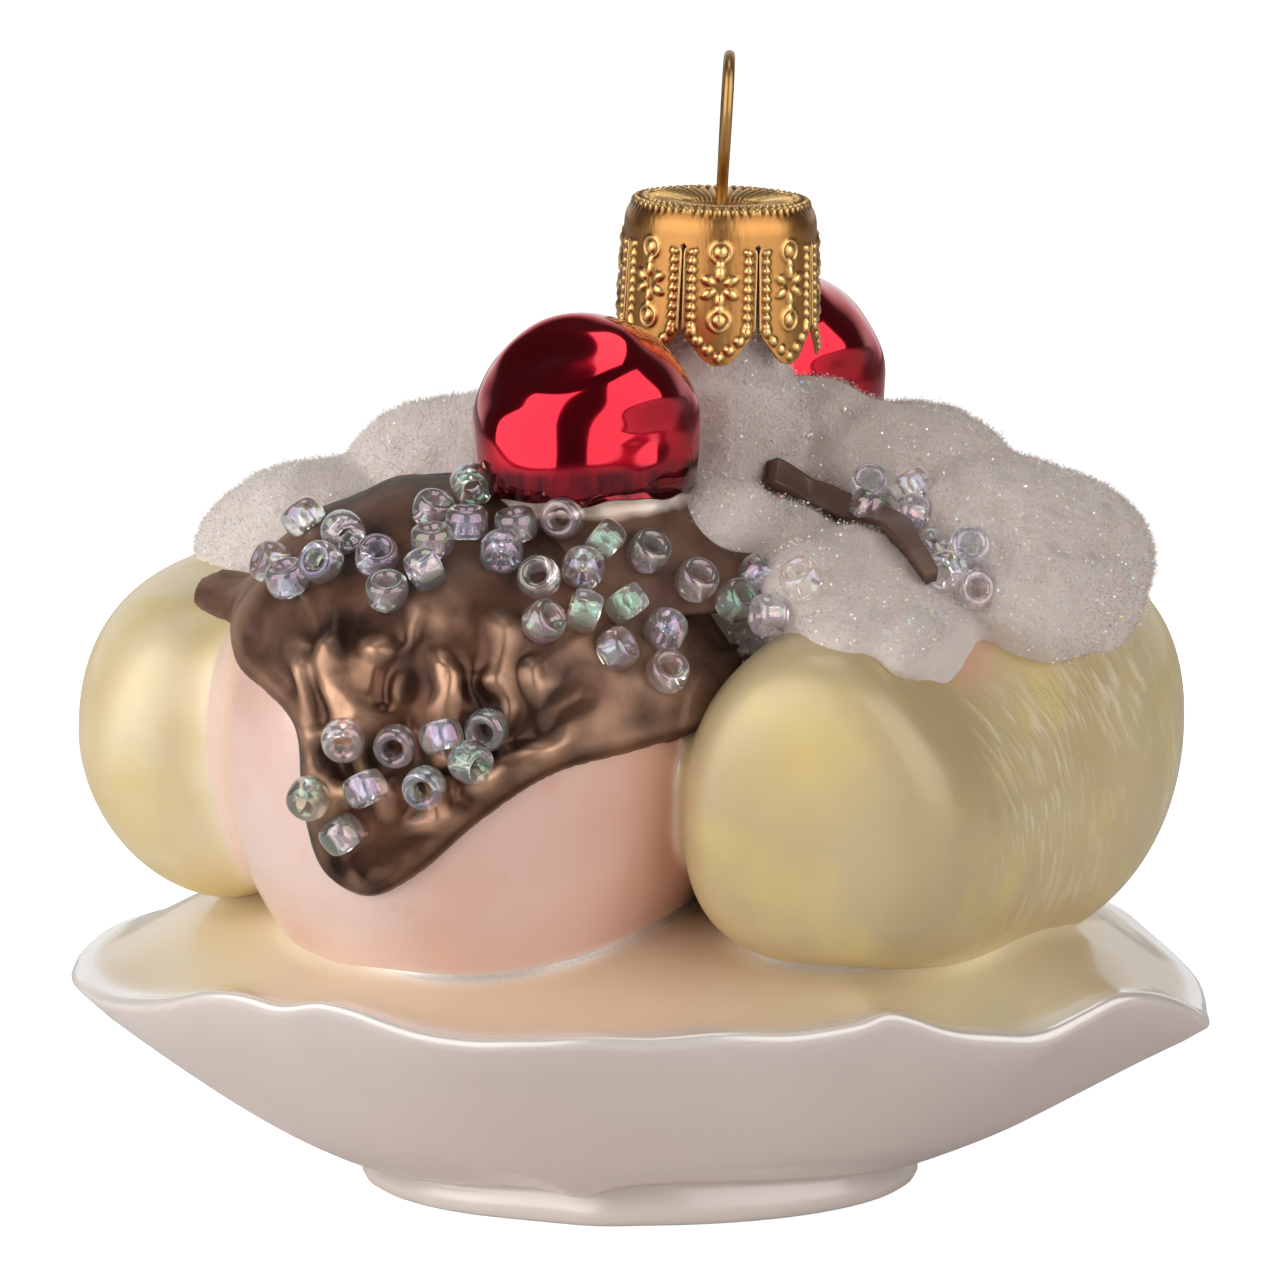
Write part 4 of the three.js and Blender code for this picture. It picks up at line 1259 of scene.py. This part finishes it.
# worn is the pale copper of the ridges: worn lacquer and a painted highlight
sauceTints = {"dark": ((44, 27, 20), (100, 66, 48)), "ends": ((96, 66, 52), (150, 114, 92)),
              "wornAndHighlight": (226, 178, 146), "strip": ((80, 54, 42), (112, 82, 66)),
              "onFoot": ((72, 47, 35), (118, 84, 66)), "foot": ((232, 220, 208), (196, 164, 140))}
# groundPaintedShade and fibrePaintedShade darken the right of the cream: painted shade
creamTints = {"ground": ((224, 210, 202), (238, 226, 218)), "groundPaintedShade": (204, 188, 176),
              "fibre": ((230, 217, 209), (245, 235, 228)), "fibrePaintedShade": (208, 192, 180)}
glitterTints = [(0.0, (250, 250, 255)), (0.35, (255, 190, 200)), (0.5, (180, 210, 255)),
                (0.65, (190, 245, 220)), (0.8, (255, 226, 150)), (0.92, (214, 206, 214))]
# low is a painted dark reflection on the cherry's lower half
cherryTints = {"red": ((208, 14, 44), (186, 8, 34)), "low": (70, 1, 14)}
# the cap's second tint is a painted highlight on the raised stamp, hollow is painted shade in its recesses
brassTints = {"cap": ((190, 136, 78), (244, 200, 132)), "hollow": (112, 68, 32),
              "wire": ((160, 122, 72), (188, 148, 92))}


def pearlFinish():  # pearl on the dish, lacquer on the fruit and the ice cream
    f = Finish("paintedPearl")
    isBanana, isScoop, isUpper, isLip, isSeam = f.attributes("banana", "scoop", "upper", "lip", "seam")
    along, aroundX, aroundY, brushed = f.attributes("along", "aroundX", "aroundY", "brushed")
    x, z = f.axis("X"), f.axis("Z")
    cloud = f.noise(26, 2.0) - 0.5
    shade = f.mix(f.noise(34, 2.0).between(0.35, 0.7), *pearlTints["under"])
    # lighter on the left underside and the foot, darker on the right: painted light and shade
    shade = f.coats(shade, (x.between(-20, -50) * 0.7, pearlTints["underLeftPaintedLight"]),
                    (x.between(20, 50) * 0.5, pearlTints["underRightPaintedShade"]),
                    (z.between(4.0, 2.0) * 0.7, pearlTints["foot"]))
    strokes = f.streaks(aroundX * 4, aroundY * 4, along * 1.1 + aroundY * 5)
    brushed = brushed * f.noise(15).between(0.44, 0.6)
    patches = f.noise(12)
    yellow = f.mix(patches.between(0.4, 0.75), *bananaTints["yellow"])
    # the right banana's side goes tan and the near end's face brown: painted shade
    tan = f.mix(patches.between(0.3, 0.7), *bananaTints["tan"])
    yellow = f.coats(yellow, (x.between(-4, 30) * 0.7, tan),
                     (along.between(24, 12) * x.between(-8, 4) * 0.55, bananaTints["brown"]),
                     (strokes.between(0.5, 0.66) * brushed * 0.6, bananaTints["strokes"]),
                     (f.noise(9, 2.0).between(0.52, 0.72) * 0.45, bananaTints["lemon"]),
                     (f.spot((13.8, -42.5, 48.5), 1.5, 10) * 0.4, bananaTints["ripe"]),
                     (f.spot((13.8, -42.5, 48.5), 0.4, 2.8) * 0.5, bananaTints["orange"]),
                     (f.spot((29.2, -27, 57), 2.5, 6) * 0.8, bananaTints["blush"]))
    pink = f.mix(f.noise(15).between(0.42, 0.7), *scoopTints["pink"])
    # rosier and darker towards the right: painted shade
    pink = f.coats(pink, ((x + cloud * 20).between(-28, 6) * 0.74, scoopTints["rose"]),
                   (f.noise(5).between(0.6, 0.8) * 0.45, scoopTints["red"]),
                   (z.between(36, 27) * 0.35, scoopTints["pale"]))
    # white lip and seam: partly painted highlights
    colour = f.coats(shade, (isUpper, f.ramp((x + cloud * 22).between(-54, 54), pearlBands)), (isScoop, pink),
                     (isBanana, yellow), (isLip, pearlTints["lip"]), (isSeam, pearlTints["seam"]))
    gloss = f.noise(8) * 0.12 + 0.27 + isBanana * 0.12 + isUpper * 0.08
    gloss = gloss * (1 - (isSeam * 0.6).maths("MAXIMUM", isLip * 0.75))
    relief = strokes * isBanana * brushed + f.noise(5.5, 2.0) * 0.25
    return f.surface({"Base Color": colour, "Metallic": isSeam * 0.5 + isLip * 0.25 + 0.1, "Roughness": gloss,
                      "Coat Weight": 0.6 - isBanana * 0.3, "Coat Roughness": 0.12,
                      "Normal": f.relief(relief, 0.2)})


def sauceFinish():
    f = Finish("sauceLacquer")
    height, = f.attributes("height")
    x, top = f.axis("X"), f.axis("Z").between(57, 65)
    ends = x.between(-12, 6).maths("MAXIMUM", x.between(-28, -36))
    plain = ends.maths("MAXIMUM", top)
    # pale copper on the ridges: worn lacquer and a painted highlight
    wornAndHighlight = height.between(1.5, 2.9) * (0.55 + f.noise(2.6, 4.0).between(0.3, 0.7) * 0.6) * (1 - top * 0.6)
    mottled = f.noise(6.5).between(0.36, 0.66)
    colour = f.coats(f.mix(mottled, *sauceTints["dark"]), (ends * 0.75, f.mix(mottled, *sauceTints["ends"])),
                     (wornAndHighlight.maths("MINIMUM", 1.0), sauceTints["wornAndHighlight"]))
    return f.surface({"Base Color": colour, "Metallic": 0.8 - plain * 0.5,
                      "Roughness": f.noise(3) * 0.12 + 0.28 + plain * 0.22, "Specular IOR Level": 0.3,
                      "Coat Weight": 0.1 - top * 0.1, "Coat Roughness": 0.15,
                      "Normal": f.relief(f.noise(1.6), 0.05)})


def stripFinish():
    f = Finish("stripLacquer")
    return f.surface({"Base Color": f.mix(f.noise(2.5), *sauceTints["strip"]), "Metallic": 0.25,
                      "Roughness": f.noise(4) * 0.1 + 0.42, "Coat Weight": 0.1, "Coat Roughness": 0.2,
                      "Normal": f.relief(f.noise(1.4, 2.0), 0.05)})


def creamFinish():
    f = Finish("creamGround")
    colour = f.mix(f.noise(14, 2.0), *creamTints["ground"])
    # darker towards the right: painted shade
    colour = f.mix(f.axis("X").between(0, 20) * 0.4, colour, creamTints["groundPaintedShade"])
    return f.surface({"Base Color": colour, "Roughness": f.noise(1.0) * 0.1 + 0.85, "Sheen Weight": 0.3,
                      "Sheen Roughness": 0.5, "Normal": f.relief(f.noise(0.35), 0.2)})


def fibreFinish():
    f = Finish("flockFibre")
    colour = f.mix(f.noise(3.0), *creamTints["fibre"])
    # darker towards the right: painted shade
    colour = f.mix(f.axis("X").between(0, 20) * 0.4, colour, creamTints["fibrePaintedShade"])
    return f.surface({"Base Color": colour, "Roughness": f.noise(1.0) * 0.1 + 0.7})


def glitterFinish():
    f = Finish("glitterFlake")
    colour = f.ramp(f.attributes("tint")[0], glitterTints)
    # the flakes glow a little: a painted sparkle
    return f.surface({"Base Color": colour, "Metallic": 0.1, "Roughness": f.noise(1.0) * 0.1 + 0.15,
                      "Coat Weight": 1.0, "Emission Color": colour, "Emission Strength": 0.3})


def cherryFinish():
    f = Finish("cherryLacquer")
    streaks = f.streaks(f.axis("X") * 0.9, f.axis("Y") * 0.9, f.axis("Z") * 0.2, 2.0).between(0.3, 0.65)
    # the lower half goes dark: a painted reflection of the sauce and beads below
    low = f.attributes("low")[0] * (streaks * 0.45 + 0.5)
    colour = f.mix(low, f.mix(f.noise(9, 2.0).between(0.35, 0.7), *cherryTints["red"]), cherryTints["low"])
    return f.surface({"Base Color": colour, "Metallic": 1.0, "Roughness": f.noise(14) * 0.05 + 0.09,
                      "Coat Weight": 0.5, "Coat Roughness": 0.05})


def footFinish():  # pearl under the cherry, then brown where the sauce has run over it
    f = Finish("cherryFootPearl")
    edge = (f.axis("Z") + f.noise(4, 2.0) * 1.4).between(70.3, 69.5) * f.axis("Y").between(0, -2)
    brown = f.mix(f.noise(6.5).between(0.36, 0.66), *sauceTints["onFoot"])
    colour = f.mix(edge, f.mix(f.noise(6, 2.0).between(0.4, 0.7), *sauceTints["foot"]), brown)
    return f.surface({"Base Color": colour, "Metallic": 0.3 - edge * 0.1, "Specular IOR Level": 0.3,
                      "Roughness": f.noise(5) * 0.1 + 0.2 + edge * 0.3, "Coat Weight": 0.4 - edge * 0.4,
                      "Coat Roughness": 0.08})


def beadFinish(name, tint, film):
    f = Finish("bead" + name)
    colour = f.mix(f.noise(1.8, 2.0).between(0.35, 0.6), (252, 252, 252), tint)
    return f.surface({"Base Color": colour, "Roughness": f.noise(4) * 0.05 + 0.03, "Transmission Weight": 0.9,
                      "IOR": 1.48, "Thin Film Thickness": film, "Thin Film IOR": 1.72, "Coat Weight": 1.0,
                      "Coat Roughness": 0.03})


def capFinish():
    f = Finish("capBrass")
    rise, hollow = f.attributes("rise", "hollow")
    # the raised stamp is painted lighter as a highlight and the recesses darker as shade
    colour = f.mix(rise.between(0, 0.25), *brassTints["cap"])
    brushed = f.streaks(f.axis("X") * 2.6, f.axis("Y") * 2.6, f.axis("Z") * 0.5, 4.0)
    return f.surface({"Base Color": f.mix(hollow * 0.75, colour, brassTints["hollow"]), "Metallic": 1.0,
                      "Roughness": brushed * 0.16 + 0.23, "Normal": f.relief(brushed, 0.03)})


def wireFinish():
    f = Finish("hangerBrass")
    return f.surface({"Base Color": f.mix(f.noise(3), *brassTints["wire"]), "Metallic": 1.0,
                      "Roughness": f.noise(2) * 0.2 + 0.24})


pearl = pearlFinish()
finishPiece(dishPiece, "dishGlass", pearl)
finishPiece(foodPiece, "foodGlass", pearl)
saucePaint = sauceFinish()
finishPiece(sauceFront, "sauceFront", saucePaint)
finishPiece(sauceBack, "sauceBack", saucePaint)
finishPiece(stripPiece, "sauceStrip", stripFinish())
finishPiece(creamPiece, "cream", creamFinish())
finishPiece(flockPiece, "creamFlock", fibreFinish(), smooth=False)
finishPiece(glitterPiece, "creamGlitter", glitterFinish(), smooth=False)
cherryPaint, footPaint = cherryFinish(), footFinish()
for name, piece, foot in zip(("Front", "Back"), cherryPieces, cherryFeet):
    finishPiece(piece, "cherry" + name, cherryPaint)
    finishPiece(foot, "cherryFoot" + name, footPaint)
for name, piece in beadPieces.items():
    finishPiece(piece, "beads" + name, beadFinish(name, *beadColours[name]))
finishPiece(capPiece, "capBell", capFinish(), "cap")
finishPiece(hangerPiece, "hangerWire", wireFinish(), "hanger")
print("finishes laid on")


# floor, light and camera

studio = {"floorHalf": 3.0, "leftPlace": (-0.64, -0.35, 0.4), "leftSize": (1.0, 0.8), "leftPower": 6.4,
          "rightPlace": (0.6, -0.4, 0.4), "rightSize": (0.66, 0.75), "rightPower": 2.9, "topPower": 0.8,
          "glintPlace": (0.56, -0.46, 0.5), "glintSize": (1.02, 0.95), "glintPowers": (6.6, 6.2),
          "backGlow": 0.9, "frontGlow": 0.07, "floorGlow": 0.85}


def floorFinish():  # paper that comes out white without lighting the glass from below
    f = Finish("floorPaper")
    seen = f.node("ShaderNodeLightPath")
    colour = f.mix(f.noise(60, 1.0), (242, 241, 240), (246, 245, 244))
    return f.surface({"Base Color": colour, "Roughness": 0.7,
                      "Emission Color": f.mix(seen, (0, 0, 0), (255, 255, 255)),
                      "Emission Strength": studio["floorGlow"]})


floor = added(bpy.ops.mesh.primitive_plane_add, size=2 * studio["floorHalf"], location=(0, 0, 0))
floor.name = "floor"
floor.data.materials.append(floorFinish())


def aimed(name, data, place, aim):
    thing = linked(name, data)
    thing.location = place
    thing.rotation_euler = (Vector(aim) - Vector(place)).to_track_quat("-Z", "Y").to_euler()
    return thing


def softBox(name, place, size, watts, aim=(0, 0, 0.045)):
    light = bpy.data.lights.new(name, "AREA")
    light.shape = "RECTANGLE"
    light.size, light.size_y = size
    light.energy = watts
    return aimed(name, light, place, aim)


for side in ("left", "right"):
    place = studio[side + "Place"]
    panel = softBox(side + "Panel", place, studio[side + "Size"], studio[side + "Power"], (0, 0, place[2]))
    panel.visible_glossy = False
x, y, z = studio["glintPlace"]
for side, watts in zip((-1, 1), studio["glintPowers"]):  # what the glossy paint and metal mirror
    glint = softBox("glint", (side * x, y, z), studio["glintSize"], watts, (0, 0, z))
    glint.visible_diffuse = False
softBox("boxTop", (0, 0.1, 0.8), (0.35, 0.35), studio["topPower"])


def buildWorld():  # white behind and below, dim towards the camera
    world = bpy.data.worlds.new("studioAir")
    bpy.context.scene.world = world
    world.use_nodes = True
    tree = world.node_tree
    tree.nodes.clear()
    way = tree.nodes.new("ShaderNodeTexCoord")
    split = tree.nodes.new("ShaderNodeSeparateXYZ")
    tree.links.new(way.outputs["Generated"], split.inputs[0])
    behind = Socket(tree, split.outputs["Y"]).between(0.6, 0.9)
    seen = tree.nodes.new("ShaderNodeLightPath")
    glow = behind * (studio["backGlow"] - studio["frontGlow"]) + studio["frontGlow"]
    glow = glow.maths("MAXIMUM", Socket(tree, seen.outputs["Is Camera Ray"]))
    sky = tree.nodes.new("ShaderNodeBackground")
    sky.inputs["Color"].default_value = (1, 1, 1, 1)
    tree.links.new(glow.socket, sky.inputs["Strength"])
    out = tree.nodes.new("ShaderNodeOutputWorld")
    tree.links.new(sky.outputs[0], out.inputs["Surface"])


buildWorld()

view = {"place": (0, -0.98481, 0.22605), "aim": (0, 0, 0.0524), "lens": 294.5, "sensor": 36}
lens = bpy.data.cameras.new("camera")
lens.sensor_width = view["sensor"]
lens.lens = view["lens"]
bpy.context.scene.camera = aimed("camera", lens, view["place"], view["aim"])
bpy.context.scene.view_settings.view_transform = "Standard"
print("stage set")
